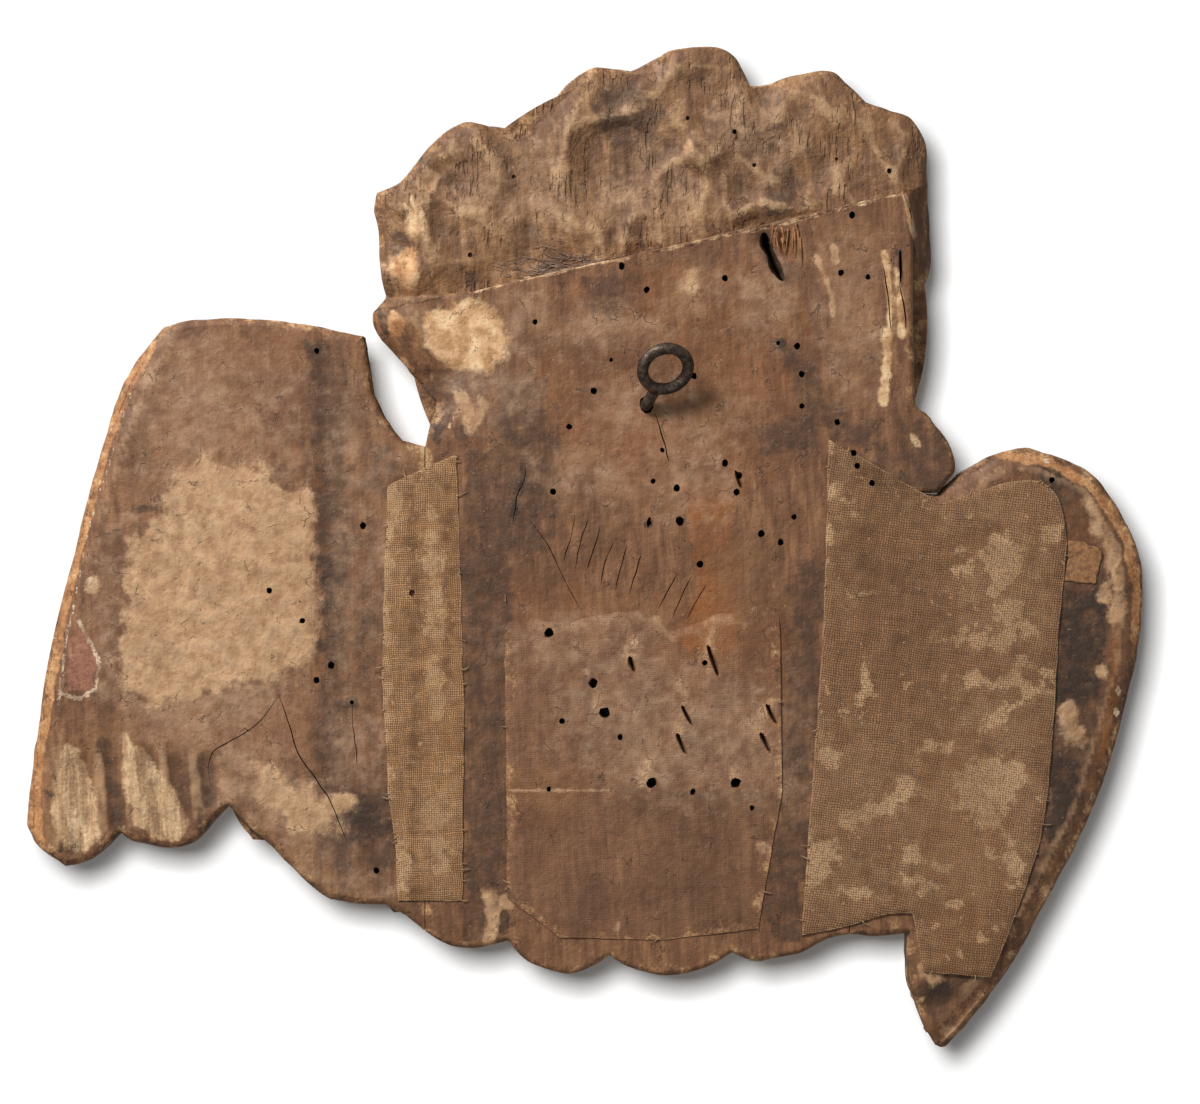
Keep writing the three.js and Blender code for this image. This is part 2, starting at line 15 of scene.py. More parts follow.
import bmesh
import bpy
import numpy as np
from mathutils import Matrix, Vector


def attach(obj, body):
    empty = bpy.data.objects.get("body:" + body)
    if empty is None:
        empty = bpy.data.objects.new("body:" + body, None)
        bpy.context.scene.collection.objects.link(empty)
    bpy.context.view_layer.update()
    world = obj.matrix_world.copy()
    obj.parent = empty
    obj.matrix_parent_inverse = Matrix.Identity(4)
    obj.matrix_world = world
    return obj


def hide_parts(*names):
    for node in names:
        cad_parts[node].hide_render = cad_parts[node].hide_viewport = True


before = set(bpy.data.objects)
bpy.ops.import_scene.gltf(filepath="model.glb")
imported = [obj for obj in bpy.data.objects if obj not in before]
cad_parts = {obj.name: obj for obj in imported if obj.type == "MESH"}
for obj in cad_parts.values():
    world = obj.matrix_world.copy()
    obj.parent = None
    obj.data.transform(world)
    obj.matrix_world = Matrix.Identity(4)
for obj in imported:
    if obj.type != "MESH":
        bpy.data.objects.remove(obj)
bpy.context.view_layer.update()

Array = np.ndarray
Object = bpy.types.Object
Mesh = bpy.types.Mesh
Node = bpy.types.Node
Socket = bpy.types.NodeSocket
Tree = bpy.types.NodeTree
Runs = Sequence[Sequence[tuple[float, float]]]
log = logging.getLogger("cherub")

# Sizes shared with the solids, in millimetres

MM = 0.001
BACK = -10.0  # the planed back
BLOCK_DEPTH = 26.0
WING_DEPTH = 19.0
CHISELLED = 4.0  # how much deeper the back of the hair was cut
HAIR_DEPTH = 24.0
JOINT_LEFT = 80.0
JOINT_RIGHT = -61.5
GAP = 0.3
CLEAR = 12.0  # how far a cutter stands out of the wood on its open side
PIXELS = 3  # of the photograph, to a millimetre
RING_PIXEL = (665.0, 370.0)  # where the photograph shows the middle of the ring, the frame's origin

HAIR_OUTLINE: Runs = (
    ((76.5, -10.5), (86.5, 1.5), (96.5, 12.5), (97.5, 19.5), (93.5, 25.5)),
    ((95.5, 36), (96, 46.5), (97.5, 55), (96.5, 60)),
    ((88.5, 63.5), (83.5, 70), (78.5, 75.5), (71, 81.5), (65, 83.5), (59, 82)),
    ((51.5, 81.5), (45, 82), (39.5, 88)),
    ((32.5, 96.5), (25, 101.5), (17.5, 101.5), (11.5, 100.5)),
    ((5, 103.5), (-2.5, 107.5), (-15, 109), (-23.5, 105.5), (-28.5, 95.5)),
    ((-35.5, 96.5), (-45, 99.5), (-55.5, 100.5), (-61.5, 96), (-67.5, 90)),
    ((-75, 87.5), (-82.5, 84.5), (-87.5, 76.5), (-88, 63.5), (-89.5, 46.5), (-89.5, 34), (-83.5, 23.5)),
    ((-83, 6.5), (-83.5, -11.5)),
    ((-90, -18), (-95, -25), (-96.5, -33.5), (-91, -40.5)),
    ((-61.5, -40.5),),
    ((-40, -60),),
    ((60, -60),),
)
BLOCK_OUTLINE: Runs = (
    ((93, 24.5),),
    ((65, 26),),
    ((-79.5, 59.5),),
    ((-82.5, 51.5),),
    ((-83, 6.5), (-83.5, -11.5)),
    ((-90, -18), (-95, -25), (-96.5, -33.5), (-91, -41)),
    ((JOINT_RIGHT, -41),),
    ((JOINT_RIGHT, -188),),
    ((-54.5, -189.5),),
    ((-45, -194.5), (-35.5, -196.5), (-29, -197), (-22.5, -194.5)),
    ((-13.5, -199.5), (-1, -202), (11, -199.5), (18.5, -195.5)),
    ((24.5, -199), (32.5, -201.5), (45, -197.5), (52.5, -190.5)),
    ((61.5, -192.5), (71.5, -192), (JOINT_LEFT, -187)),
    ((JOINT_LEFT, -25.5),),
    ((76.5, -10.5),),
    ((86.5, 1.5), (96.5, 12.5), (97.5, 19.5)),
)
WING_LEFT_OUTLINE: Runs = (
    ((JOINT_LEFT, -25.5),),
    ((87.5, -23.5),),
    ((92.5, -17.5), (97, -7.5), (99, 2.5), (100.5, 11.5)),
    ((108.5, 13), (121.5, 15.5), (145, 17.5), (158.5, 16.5), (167.5, 14.5)),
    ((179, -0.5), (187.5, -23.5), (198, -63.5), (206.5, -103.5), (212.5, -141.5), (211.5, -156),
    (200, -165.5)),
    ((191.5, -163.5), (185, -157.5), (181.5, -154.5)),
    ((176.5, -157.5), (165, -159.5), (156.5, -157), (150.5, -150.5), (145.5, -145.5)),
    ((138.5, -152.5), (131.5, -158.5), (118.5, -172), (111.5, -176.5)),
    ((103.5, -178), (93.5, -178.5)),
    ((86.5, -182), (JOINT_LEFT, -187)),
)
WING_RIGHT_OUTLINE: Runs = (
    ((JOINT_RIGHT, -41.3),),
    ((-91, -41.3),),
    ((-100, -33.5), (-111.5, -27.5), (-123.5, -26.5), (-143.5, -35.5), (-157.5, -58.5), (-159.5, -75),
     (-157, -98.5), (-143.5, -145), (-116.5, -196.5), (-96.5, -223.5), (-90.5, -225.5)),
    ((-85.5, -216.5), (-82, -205), (-80.5, -193.5), (-81.5, -187.5)),
    ((-75, -188.5), (-68.5, -189), (JOINT_RIGHT, -188)),
)
STRIP_OUTLINE: Runs = tuple(
    (place,)
    for place in ((92.5, -38.5), (94.5, -99), (92.5, -140), (90, -156), (89, -177), (67.5, -177), (67, -110),
    (69.5, -28))
)
SHEET_OUTLINE: Runs = (
    ((-45.5, -188.5),),
    ((-62.5, -185), (-73.5, -181.5), (-82.5, -181)),
    ((-86, -200.5),),
    ((-108.5, -202.5),),
    ((-123.5, -162.5), (-128.5, -131.5), (-131, -90.5), (-134, -57)),
    ((-132, -45), (-125.5, -37.5), (-113, -37.5)),
    ((-92, -44.5),),
    ((-54.5, -23),),
    ((-53, -83),),
)
PATCH_OUTLINE: Runs = tuple(
    (place,) for place in ((53.5, -77), (-38, -77), (-39, -140), (-31, -186), (0, -190), (35, -189),
    (52.5, -176))
)
LEDGE = ((65, 26), (-79.5, 59.5))  # the straight stop cut across the back of the head
HAIR_EDGE = HAIR_OUTLINE[:10]  # the hair's outline without the straight runs that other wood covers


# General mathematics


def smooth(low: float, high: float, value: Array) -> Array:
    """Rises from 0 at low to 1 at high, level at both ends."""
    share = np.clip((value - low) / (high - low), 0, 1)
    return share * share * (3 - 2 * share)


def noise(at: Array, size: float, seed: int = 0) -> Array:
    """Smooth random waves: hashed values on a cubic lattice, blended between its corners.

    Args:
        at: places, (..., 3).
        size: distance between the lattice's points.
        seed: picks other values.

    Returns:
        Values from -1 to 1, (...).
    """
    grid = at / size + 4096.37
    cell = np.floor(grid)
    part = grid - cell
    part = part * part * (3 - 2 * part)
    cell = cell.astype(np.uint32)
    total = np.zeros(at.shape[:-1])
    for corner in itertools.product((0, 1), repeat=3):
        key = (cell + np.array(corner, np.uint32)) * np.array([73856093, 19349663, 83492791], np.uint32)
        key = key[..., 0] ^ key[..., 1] ^ key[..., 2] ^ np.uint32(seed * 7919 + 17)
        for turn in (15, 13, 16):
            key = (key ^ (key >> np.uint32(turn))) * np.uint32(2246822519)
        total += np.prod(np.where(corner, part, 1 - part), axis=-1) * (key / 2.0**31 - 1)
    return total


def fractal(at: Array, size: float, seed: int = 0, octaves: int = 3) -> Array:
    """Noise of several sizes, each half as wide and half as high as the one before."""
    return sum(noise(at, size / 2**k, seed + k) / 2**k for k in range(octaves))


def flat(at: Array, grain: float = 1.0) -> Array:
    """Places x and z as x, 0, z, with z shrunk by grain, which draws noise out along the grain."""
    return np.stack([at[..., 0], np.zeros(at.shape[:-1]), at[..., 1] * grain], -1)


def standing(at: Array, y: Array | float) -> Array:
    """Places x and z as points x, y, z."""
    return np.stack([at[..., 0], np.broadcast_to(y, at.shape[:-1]), at[..., 1]], -1)


def away(at: Array, line: Array) -> Array:
    """Distance of each place (N, 2) from an open line of points.

    Args:
        at: the places.
        line: the points, (M, 2).

    Returns:
        The distances, (N,): the least over the line's straight runs.
    """
    best = np.full(len(at), np.inf)
    for start, end in itertools.pairwise(line):
        run = end - start
        share = np.clip((at - start) @ run / max(run @ run, 1e-9), 0, 1)
        best = np.minimum(best, np.hypot(*(at - start - share[:, None] * run).T))
    return best


def inside(at: Array, ring: Array) -> Array:
    """How deep each place (N, 2) lies inside a closed ring, negative outside it.

    Args:
        at: the places.
        ring: its points, (M, 2).

    Returns:
        The distance to the ring, its sign from how often a level line from the place crosses the ring.
    """
    held = np.zeros(len(at), bool)
    closed = np.vstack([ring, ring[:1]])
    for (x, z), (next_x, next_z) in itertools.pairwise(closed):
        if z != next_z:
            level = (z > at[:, 1]) != (next_z > at[:, 1])
            held ^= level & (at[:, 0] < (next_x - x) * (at[:, 1] - z) / (next_z - z) + x)
    return np.where(held, 1, -1) * away(at, closed)


def spline(line: Array, count: int) -> Array:
    """A smooth curve through every point: Catmull-Rom cubics, count steps long.

    Args:
        line: the points, (N, 2) or (N, 3).
        count: number of steps.

    Returns:
        count + 1 points.
    """
    t = np.linspace(0, len(line) - 1, count + 1)
    first = np.minimum(t.astype(int), len(line) - 2)
    f = (t - first)[:, None]
    p0, p1, p2, p3 = (line[np.clip(first + k, 0, len(line) - 1)] for k in (-1, 0, 1, 2))
    v0, v1 = (p2 - p0) / 2, (p3 - p1) / 2
    return (2 * p1 - 2 * p2 + v0 + v1) * f**3 + (3 * p2 - 3 * p1 - 2 * v0 - v1) * f**2 + v0 * f + p1


def outline(runs: Runs, step: float) -> Array:
    """The runs of an outline as one ring of points about step apart; runs meet at corners.

    Args:
        runs: runs of places; each is a smooth curve from the last place of the one before.
        step: distance between points.

    Returns:
        The ring, (N, 2).
    """
    ring, last = [], runs[-1][-1]
    for run in runs:
        line = np.array([last, *run], float)
        length = np.hypot(*np.diff(line, axis=0).T).sum()
        ring.append(spline(line, max(len(run), round(length / step)))[1:])
        last = run[-1]
    return np.vstack(ring)


def drawn_in(ring: Array, amount: Array, rounds: int = 5) -> Array:
    """The ring moved inwards by amount along its normals, then evened so that corners stay open.

    Args:
        ring: points, (N, 2).
        amount: one number, or one for each point.
        rounds: how often the shifts are evened with their neighbours'.

    Returns:
        The moved ring, (N, 2).
    """
    tangent = np.roll(ring, -1, 0) - np.roll(ring, 1, 0)
    tangent /= np.hypot(*tangent.T)[:, None]
    area = np.sum(ring[:, 0] * np.roll(ring[:, 1], -1) - np.roll(ring[:, 0], -1) * ring[:, 1])
    amount = np.broadcast_to(amount, len(ring))[:, None]
    shift = np.stack([-tangent[:, 1], tangent[:, 0]], -1) * np.sign(area) * amount
    for _ in range(rounds):
        shift = (np.roll(shift, 1, 0) + 2 * shift + np.roll(shift, -1, 0)) / 4
    return ring + shift


def seen(places: Sequence[tuple[float, float]]) -> Array:
    """Places as the photograph shows them, as x and z."""
    return (np.array([RING_PIXEL]) - np.array(places, float)) / PIXELS


# Meshes


def piece(name: str, points: Array, faces: list, values: dict[str, Array] | None = None) -> Object:
    """A closed mesh object from points in millimetres, its faces turned outwards.

    Args:
        name: the object's name.
        points: (N, 3).
        faces: tuples of indices.
        values: numbers for each point, by attribute name.

    Returns:
        The object, linked to the scene.
    """
    mesh = bpy.data.meshes.new(name)
    mesh.from_pydata((points * MM).tolist(), [], faces)
    shape = bmesh.new()
    shape.from_mesh(mesh)
    bmesh.ops.recalc_face_normals(shape, faces=shape.faces)
    if shape.calc_volume(signed=True) < 0:
        bmesh.ops.reverse_faces(shape, faces=shape.faces)
    shape.to_mesh(mesh)
    shape.free()
    for key, value in (values or {}).items():
        attribute = mesh.attributes.new(key, "FLOAT", "POINT")
        attribute.data.foreach_set("value", np.broadcast_to(value, len(points)).astype(np.float32))
    body = bpy.data.objects.new(name, mesh)
    bpy.context.scene.collection.objects.link(body)
    return body


def grid_faces(rows: int, columns: int, start: int = 0, around: bool = False) -> Array:
    """Four-cornered faces of a grid of rows by columns points; around joins the last column to the first.

    Args:
        rows: number of rows.
        columns: points in each row.
        start: the first point's index.
        around: whether the rows are closed.

    Returns:
        Indices, (faces, 4).
    """
    i, j = np.meshgrid(np.arange(rows - 1), np.arange(columns if around else columns - 1), indexing="ij")
    right = (j + 1) % columns
    corners = [i * columns + j, i * columns + right, (i + 1) * columns + right, (i + 1) * columns + j]
    return np.stack([c.ravel() for c in corners], -1) + start


def slab(name: str, front: Array, behind: Array, values: dict[str, Array] | None = None) -> Object:
    """Two grids of the same size joined round their rims into a closed form.

    Args:
        name: the object's name.
        front: points (rows, columns, 3).
        behind: the same number of points.
        values: numbers for each point of a grid, by attribute name.

    Returns:
        The object.
    """
    rows, columns = front.shape[:2]
    count = rows * columns
    index = np.arange(count).reshape(rows, columns)
    rim = np.concatenate([index[0], index[1:, -1], index[-1, -2::-1], index[-2:0:-1, 0]])
    after = np.roll(rim, -1)
    wall = np.stack([rim, after, after + count, rim + count], -1)
    faces = np.vstack([grid_faces(rows, columns), grid_faces(rows, columns, count), wall])
    points = np.vstack([front.reshape(-1, 3), behind.reshape(-1, 3)])
    doubled = {key: np.tile(np.broadcast_to(value, (rows, columns)).ravel(), 2)
        for key, value in (values or {}).items()}
    return piece(name, points, faces.tolist(), doubled)


def skin(name: str, rings: Array, values: dict[str, Array] | None = None) -> Object:
    """Rings of points (rows, sides, 3) joined one to the next and closed at both ends.

    Args:
        name: the object's name.
        rings: the points.
        values: numbers for each point, by attribute name.

    Returns:
        The object.
    """
    rows, sides = rings.shape[:2]
    faces = grid_faces(rows, sides, around=True).tolist()
    faces += [list(range(sides)), list(range((rows - 1) * sides, rows * sides))]
    spread = {key: np.broadcast_to(value, (rows, sides)).ravel() for key, value in (values or {}).items()}
    return piece(name, rings.reshape(-1, 3), faces, spread)


def tube(path: Array, wide: Array, high: Array, front: Array, turns: Array) -> Array:
    """Ovals carried along a path.

    Args:
        path: points (rows, 3).
        wide: half width across the path, (rows, 1) or (rows, sides).
        high: half height towards the front, the same.
        front: the way the oval's height points.
        turns: angles round the oval, (sides,).

    Returns:
        Rings of points (rows, sides, 3).
    """
    along = np.gradient(path, axis=0)
    across = np.cross(along, front)
    across /= np.linalg.norm(across, axis=1, keepdims=True)
    up = np.cross(across, along)
    up /= np.linalg.norm(up, axis=1, keepdims=True)
    reach_wide, reach_high = (np.broadcast_to(r * f, (len(path), len(turns)))[..., None]
        for r, f in ((wide, np.cos(turns)), (high, np.sin(turns))))
    return path[:, None] + across[:, None] * reach_wide + up[:, None] * reach_high


def combine(body: Object, tool: Object, way: str) -> Object:
    """Joins the tool to the body (UNION), cuts it away (DIFFERENCE) or keeps what they share (INTERSECT).

    Args:
        body: what is changed.
        tool: the other object, which is used up.
        way: the operation's name.

    Returns:
        The body.
    """
    change = body.modifiers.new("combine", "BOOLEAN")
    change.operation, change.object, change.solver = way, tool, "MANIFOLD"
    graph = bpy.context.evaluated_depsgraph_get()
    made = bpy.data.meshes.new_from_object(body.evaluated_get(graph), preserve_all_data_layers=True,
        depsgraph=graph)
    if not made.polygons:
        raise RuntimeError(f"{way} of {tool.name} with {body.name} left nothing")
    old = body.data
    body.modifiers.clear()
    body.data = made
    bpy.data.meshes.remove(old)
    bpy.data.objects.remove(tool)
    return body


def values_of(mesh: Mesh, name: str) -> Array:
    """A point attribute as an array, zeros where the mesh lacks it."""
    values = np.zeros(len(mesh.vertices), np.float32)
    if name in mesh.attributes:
        mesh.attributes[name].data.foreach_get("value", values)
    return values.astype(float)


def places_of(mesh: Mesh) -> Array:
    """The mesh's points in millimetres, (N, 3)."""
    at = np.zeros(len(mesh.vertices) * 3, np.float32)
    mesh.vertices.foreach_get("co", at)
    return at.reshape(-1, 3).astype(float) / MM


def set_values(mesh: Mesh, name: str, values: Array) -> None:
    """Writes one number for each point under that name."""
    attribute = mesh.attributes.get(name) or mesh.attributes.new(name, "FLOAT", "POINT")
    attribute.data.foreach_set("value", values.astype(np.float32))


def face_means(mesh: Mesh, values: Array) -> Array:
    """The mean over each face of numbers given for the points.

    Args:
        mesh: the mesh.
        values: one number for each of its points.

    Returns:
        One number for each face.
    """
    corner = np.zeros(len(mesh.loops), np.int32)
    mesh.loops.foreach_get("vertex_index", corner)
    start, total = np.zeros(len(mesh.polygons), np.int32), np.zeros(len(mesh.polygons), np.int32)
    mesh.polygons.foreach_get("loop_start", start)
    mesh.polygons.foreach_get("loop_total", total)
    return np.add.reduceat(values[corner], start) / total


def ready(body: Object, node: str, sharp: float = 38) -> Object:
    """Smooth shading with edges sharper than that many degrees kept, and the calls that tie it to the frame.

    Args:
        body: the finished piece.
        node: the solid's node that it stands for.
        sharp: in degrees.

    Returns:
        The body.
    """
    body.data.shade_smooth()
    body.data.set_sharp_from_angle(angle=math.radians(sharp))
    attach(body, "root")
    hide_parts(node)
    log.info("%s: %d points, %d faces", body.name, len(body.data.vertices), len(body.data.polygons))
    return body


# Marks that age and work left on the back


class Tone(Enum):
    """What a marked area of the wood is, as the name of its point attribute."""

    PALE = "pale"  # glue size with chalk in it
    SMEAR = "smear"  # a thin, wiped veil of the same
    PUTTY = "putty"
    CREAM = "cream"  # bare, freshly scraped wood; along the stop cut, also a painted highlight on its upward step
    MAUVE = "mauve"  # old thin wash
    WARM = "warm"  # wood that shellac has reddened
    ORANGE = "orange"  # torn wood inside a wound
    DARK = "dark"
    BLACK = "black"
    GILT = "gilt"
    GESSO = "gesso"
    BOLE = "bole"
    FRESH = "fresh"  # the chiselled hair


@dataclass(frozen=True)
class Area:
    """A closed area, its corners as the photograph shows them; soft is how gently it ends, in millimetres."""

    corners: tuple
    soft: float = 1.0

    def reach(self, at: Array) -> Array:
        """How deep places lie inside, in softs."""
        return inside(at, seen(self.corners)) / self.soft


@dataclass(frozen=True)
class Trail:
    """A line of that half width in millimetres through places of the photograph."""

    line: tuple
    wide: float = 0.5
    soft: float = 0.3

    def reach(self, at: Array) -> Array:
        """How deep places lie inside, in softs."""
        return (self.wide - away(at, seen(self.line))) / self.soft


@dataclass(frozen=True)
class Spot:
    """An oval: its middle and half sizes in the photograph's pixels."""

    x: float
    y: float
    wide: float
    tall: float
    soft: float = 1.0

    def reach(self, at: Array) -> Array:
        """How deep places lie inside, in softs."""
        middle = seen([(self.x, self.y)])[0]
        wide, tall = self.wide / PIXELS, self.tall / PIXELS
        share = np.hypot((at[:, 0] - middle[0]) / wide, (at[:, 1] - middle[1]) / tall)
        return (1 - share) * min(wide, tall) / self.soft


Marks = dict[Tone, tuple]


# Boards and cloth: an outline cut from a wavy slab


@dataclass
class Board:
    """A board: its outline, its uneven back and its worn, carved edge."""

    name: str
    runs: Runs
    back: float = BACK
    front: float = BACK - WING_DEPTH
    worn: float = 2.2
    pitch: float = 1.3
    rough: float = 0.35
    joints: tuple[float, ...] = ()
    seed: int = 3

    def surface(self, at: Array) -> Array:
        """y of the back at places (N, 2)."""
        return np.full(len(at), self.back)

    def under(self, at: Array) -> Array:
        """y of the board's flat front, where the slab ends."""
        return np.full(len(at), self.front)

    def loose(self, ring: Array) -> Array:
        """1 along the free edge, 0 where a glued joint keeps it straight."""
        share = np.ones(len(ring))
        for joint in self.joints:
            share *= smooth(0.3, 3, np.abs(ring[:, 0] - joint))
        return share

    def wear(self, ring: Array) -> Array:
        """How far the worn edge reaches in along the ring."""
        return 0.3 + (self.worn - 0.3) * self.loose(ring)

    def ring(self) -> Array:
        """The outline with the small unevenness of cut and handled wood."""
        ring = outline(self.runs, self.pitch)
        at = flat(ring)
        return drawn_in(ring, self.rough * (noise(at, 5, self.seed) + 0.6 * noise(at, 1.8, self.seed))
            * self.loose(ring), 1)

    def rings(self) -> Array:
        """The edge as rings: up past the back, over the worn edge, down the carved wall, round the front."""
        ring = self.ring()
        wear = self.wear(ring)
        inner = drawn_in(ring, wear)
        top = self.surface(inner)
        levels, flats = [self.back + CLEAR, top], [inner, inner]
        for share, drop in ((0.55, 0.16), (0.22, 0.45), (0.0, 1.0)):
            flats.append(ring + (inner - ring) * share)
            levels.append(top - wear * drop)
        edge, count = levels[-1], max(3, round((self.back - self.front) / 2.6))
        along = np.arange(len(ring)) * self.pitch
        for row in range(1, count + 1):
            level = edge + (self.front + 1.5 - edge) * row / count
            cuts = 0.35 * np.abs(np.sin(along / 11 + 0.6 * noise(flat(ring), 20, self.seed + 5)))
            cuts = cuts + 0.3 * noise(standing(ring, level), 4, self.seed + 6)
            flats.append(drawn_in(ring, np.maximum(cuts, 0) * self.loose(ring) * min(1, row / 2), 1))
            levels.append(level)
        flats.append(drawn_in(ring, 0.3))
        levels.append(self.front - 4)
        return np.stack([standing(at, y) for at, y in zip(flats, levels)])

    def slab(self) -> Object:
        """The wavy slab that the outline is cut from."""
        ring = outline(self.runs, 4)
        low, high = ring.min(0) - 3, ring.max(0) + 3
        columns, rows = (np.ceil((high - low) / self.pitch)).astype(int)
        x, z = np.meshgrid(np.linspace(low[0], high[0], columns), np.linspace(low[1], high[1], rows))
        at = np.stack([x.ravel(), z.ravel()], -1)
        front, behind = (np.stack([x, y.reshape(x.shape), z], -1) for y in (self.surface(at), self.under(at)))
        return slab(self.name + "_slab", front, behind)

    def build(self) -> Object:
        """The board as one closed mesh."""
        return combine(skin(self.name, self.rings()), self.slab(), "INTERSECT")


class MainBlock(Board):
    """The middle board: planed, with the rounded back of a curl at its upper left."""

    def surface(self, at: Array) -> Array:
        """A nearly flat plane with long shallow strokes, falling away round the curl."""
        y = self.back - 0.25 + 0.3 * fractal(flat(at, 0.3), 20, 11, 4)
        side = away(at, np.array([(76.5, -10.5), (86.5, 1.5), (96.5, 12.5), (97.5, 19.5), (93.5, 25.5)]))
        lobe = smooth(66, 80, at[:, 0]) * smooth(-24, -12, at[:, 1])
        y = y - lobe * 6.5 * np.clip(1 - side / 14, 0, 1) ** 1.7 * (1 + 0.15 * noise(flat(at), 5, 12))
        under = np.hypot((at[:, 0] - 73) / 8, (at[:, 1] + 3) / 5)
        y = y - 1.6 * np.exp(-(under**2))
        wound = at[:, 0] + 36 - 0.16 * (at[:, 1] - 40)
        y = y - 2.4 * np.exp(-((wound / 5) ** 2)) * smooth(26, 46, at[:, 1])
        torn = np.hypot((at[:, 0] + 48) / 13, (at[:, 1] + 22) / 8)
        return y - 0.5 * smooth(1.1, 0.5, torn) * (0.6 + 0.4 * noise(flat(at), 2.6, 13))

    def wear(self, ring: Array) -> Array:
        """Worn all round, but crisp along the stop cut."""
        crisp = smooth(0.6, 5, away(ring, np.array(LEDGE, float)))
        return 0.4 + (super().wear(ring) - 0.4) * crisp


class HairRim(Board):
    """The back of the hair, cut deeper with a gouge in scoops whose borders stay as ridges."""

    def surface(self, at: Array) -> Array:
        """Scoops that meet in ridges, a hollow with a knob, torn fibres and edges that fall away."""
        bend = at + 4 * np.stack([noise(flat(at), 17, 21), noise(flat(at), 17, 22)], -1)
        scoops = np.abs(fractal(flat(bend), 27, 23, 2)) + 0.45 * np.abs(noise(flat(bend, 0.6), 10, 24))
        y = self.back - 0.1 - 4.6 * np.minimum(scoops, 0.75) + 0.3 * fractal(flat(at), 5, 28)
        fibres = np.maximum(noise(flat(at, 0.13), 1.7, 25), 0) * smooth(0.0, 0.4, noise(flat(at), 24, 26))
        y = y - 0.5 * fibres
        hollow = np.hypot((at[:, 0] - 6) / 15, (at[:, 1] - 72) / 15)
        knob = np.hypot((at[:, 0] + 13) / 6.5, (at[:, 1] - 73.5) / 6.5)
        y = y - 2.8 * np.exp(-(hollow**2)) + 2.8 * np.exp(-(knob**4))
        ring = outline(self.runs, 4)
        y = y - 2.6 * np.clip(1 - inside(at, ring) / (9 + 3 * noise(flat(at), 14, 27)), 0, 1) ** 2
        amber = away(at, np.array([(97, 28), (96, 46.5), (97.5, 55), (96.5, 60)]))
        y = y - 3.2 * np.clip(1 - amber / 15, 0, 1) ** 1.2
        crease = away(at, np.array([(86, 58), (84, 44), (88, 30)]))
        y = y - 0.9 * np.exp(-((crease / 1.6) ** 2))
        beyond = smooth(-81.5, -84.5, at[:, 0]) * smooth(62, 56, at[:, 1])
        y = y - beyond * (3 + 0.12 * (at[:, 0] + 83) ** 2)
        under = smooth(72, 78, at[:, 0]) * smooth(22, 16, at[:, 1])
        return np.minimum(y, self.back + 1.2) - under * 4


class LeftWingBoard(Board):
    """The spread wing's board: a flat back, its outer edge rounded, its tips fluted with a gouge."""

    def surface(self, at: Array) -> Array:
        """Flat but for the dip of the dark band, the rounded outer edge and the flutes."""
        y = self.back - 0.3 + 0.34 * fractal(flat(at, 0.5), 22, 31, 4)
        y = y - 0.5 * smooth(119, 113, at[:, 0]) * smooth(90, 98, at[:, 0])
        outer = seen([(160, 330), (134, 375), (108, 440), (86, 510), (68, 580), (46, 690), (32, 790),
            (34, 850)])
        y = y - 3.0 * np.clip(1 - away(at, outer) / 5.2, 0, 1) ** 1.3
        for line, wide, deep in (
            (((78, 745), (80, 800), (76, 850)), 6.2, 1.5),
            (((110, 735), (114, 790), (118, 830)), 3.6, 0.9),
            (((137, 700), (150, 790), (160, 850)), 5.6, 1.3),
            (((176, 745), (180, 800), (182, 850)), 4.6, 1.0),
            (((207, 760), (212, 800)), 4.0, 1.2),
        ):
            path = seen(line)
            y = y - deep * smooth(1.05, 0.3, away(at, path) / wide) * smooth(-122, -132, at[:, 1])
        hump = np.hypot((at[:, 0] - 155) / 12, (at[:, 1] + 128) / 9)
        return y + 0.12 * np.exp(-(hump**2)) - 0.14


class RightWingBoard(Board):
    """The folded wing's board, its border rounded where no cloth covers it."""

    def surface(self, at: Array) -> Array:
        """Flat, with a worn slope round the outer border and a knob at the foot."""
        y = self.back - 0.3 + 0.25 * fractal(flat(at, 0.4), 18, 41, 4)
        border = np.array([(-91, -41), (-111.5, -27.5), (-123.5, -26.5), (-143.5, -35.5), (-157.5, -58.5),
            (-159.5, -75),
                           (-157, -98.5), (-143.5, -145), (-116.5, -196.5), (-90.5, -225.5)])
        y = y - 2.2 * np.clip(1 - away(at, border) / 6.5, 0, 1) ** 1.6
        hollow = np.hypot((at[:, 0] + 93) / 7, (at[:, 1] + 210) / 6)
        knob = np.hypot((at[:, 0] + 88) / 4.5, (at[:, 1] + 200) / 6)
        return y - 1.4 * np.exp(-(hollow**2)) + 0.25 * np.exp(-(knob**4)) - 0.1


@dataclass
class Cloth(Board):
    """A glued sheet: thin, following the board, with a few long ridges."""

    thick: float = 0.55
    ridge: float = 0.12
    pitch: float = 1.5
    rough: float = 0.3
    taper: float = 1.2  # how far in from the edge it reaches its full thickness
    buried: float = 0.0  # how far down from its top edge the paint and dirt of the wood lie over it

    def surface(self, at: Array) -> Array:
        """Lies on the wood, with slack ridges down its length."""
        within = smooth(-0.2, self.taper, inside(at, outline(self.runs, 3)))
        y = self.back + 0.12 + (self.thick - 0.12 + self.ridge * fractal(flat(at, 0.12), 9,
            self.seed)) * within
        if self.buried:
            down = np.array(self.runs[0][0][1]) - at[:, 1]
            y = y - 1.3 * smooth(1, 0, down / self.buried + 0.7 * fractal(flat(at), 14, self.seed + 1))
        return y

    def under(self, at: Array) -> Array:
        """Its face against the glue."""
        return np.minimum(self.surface(at) - 0.3, self.back + 0.05)

    def rings(self) -> Array:
        """A straight cut all round."""
        ring = self.ring()
        walls = [(ring, level) for level in (self.back + CLEAR, self.back - CLEAR)]
        return np.stack([standing(at, y) for at, y in walls])


# Small tools that cut into the back


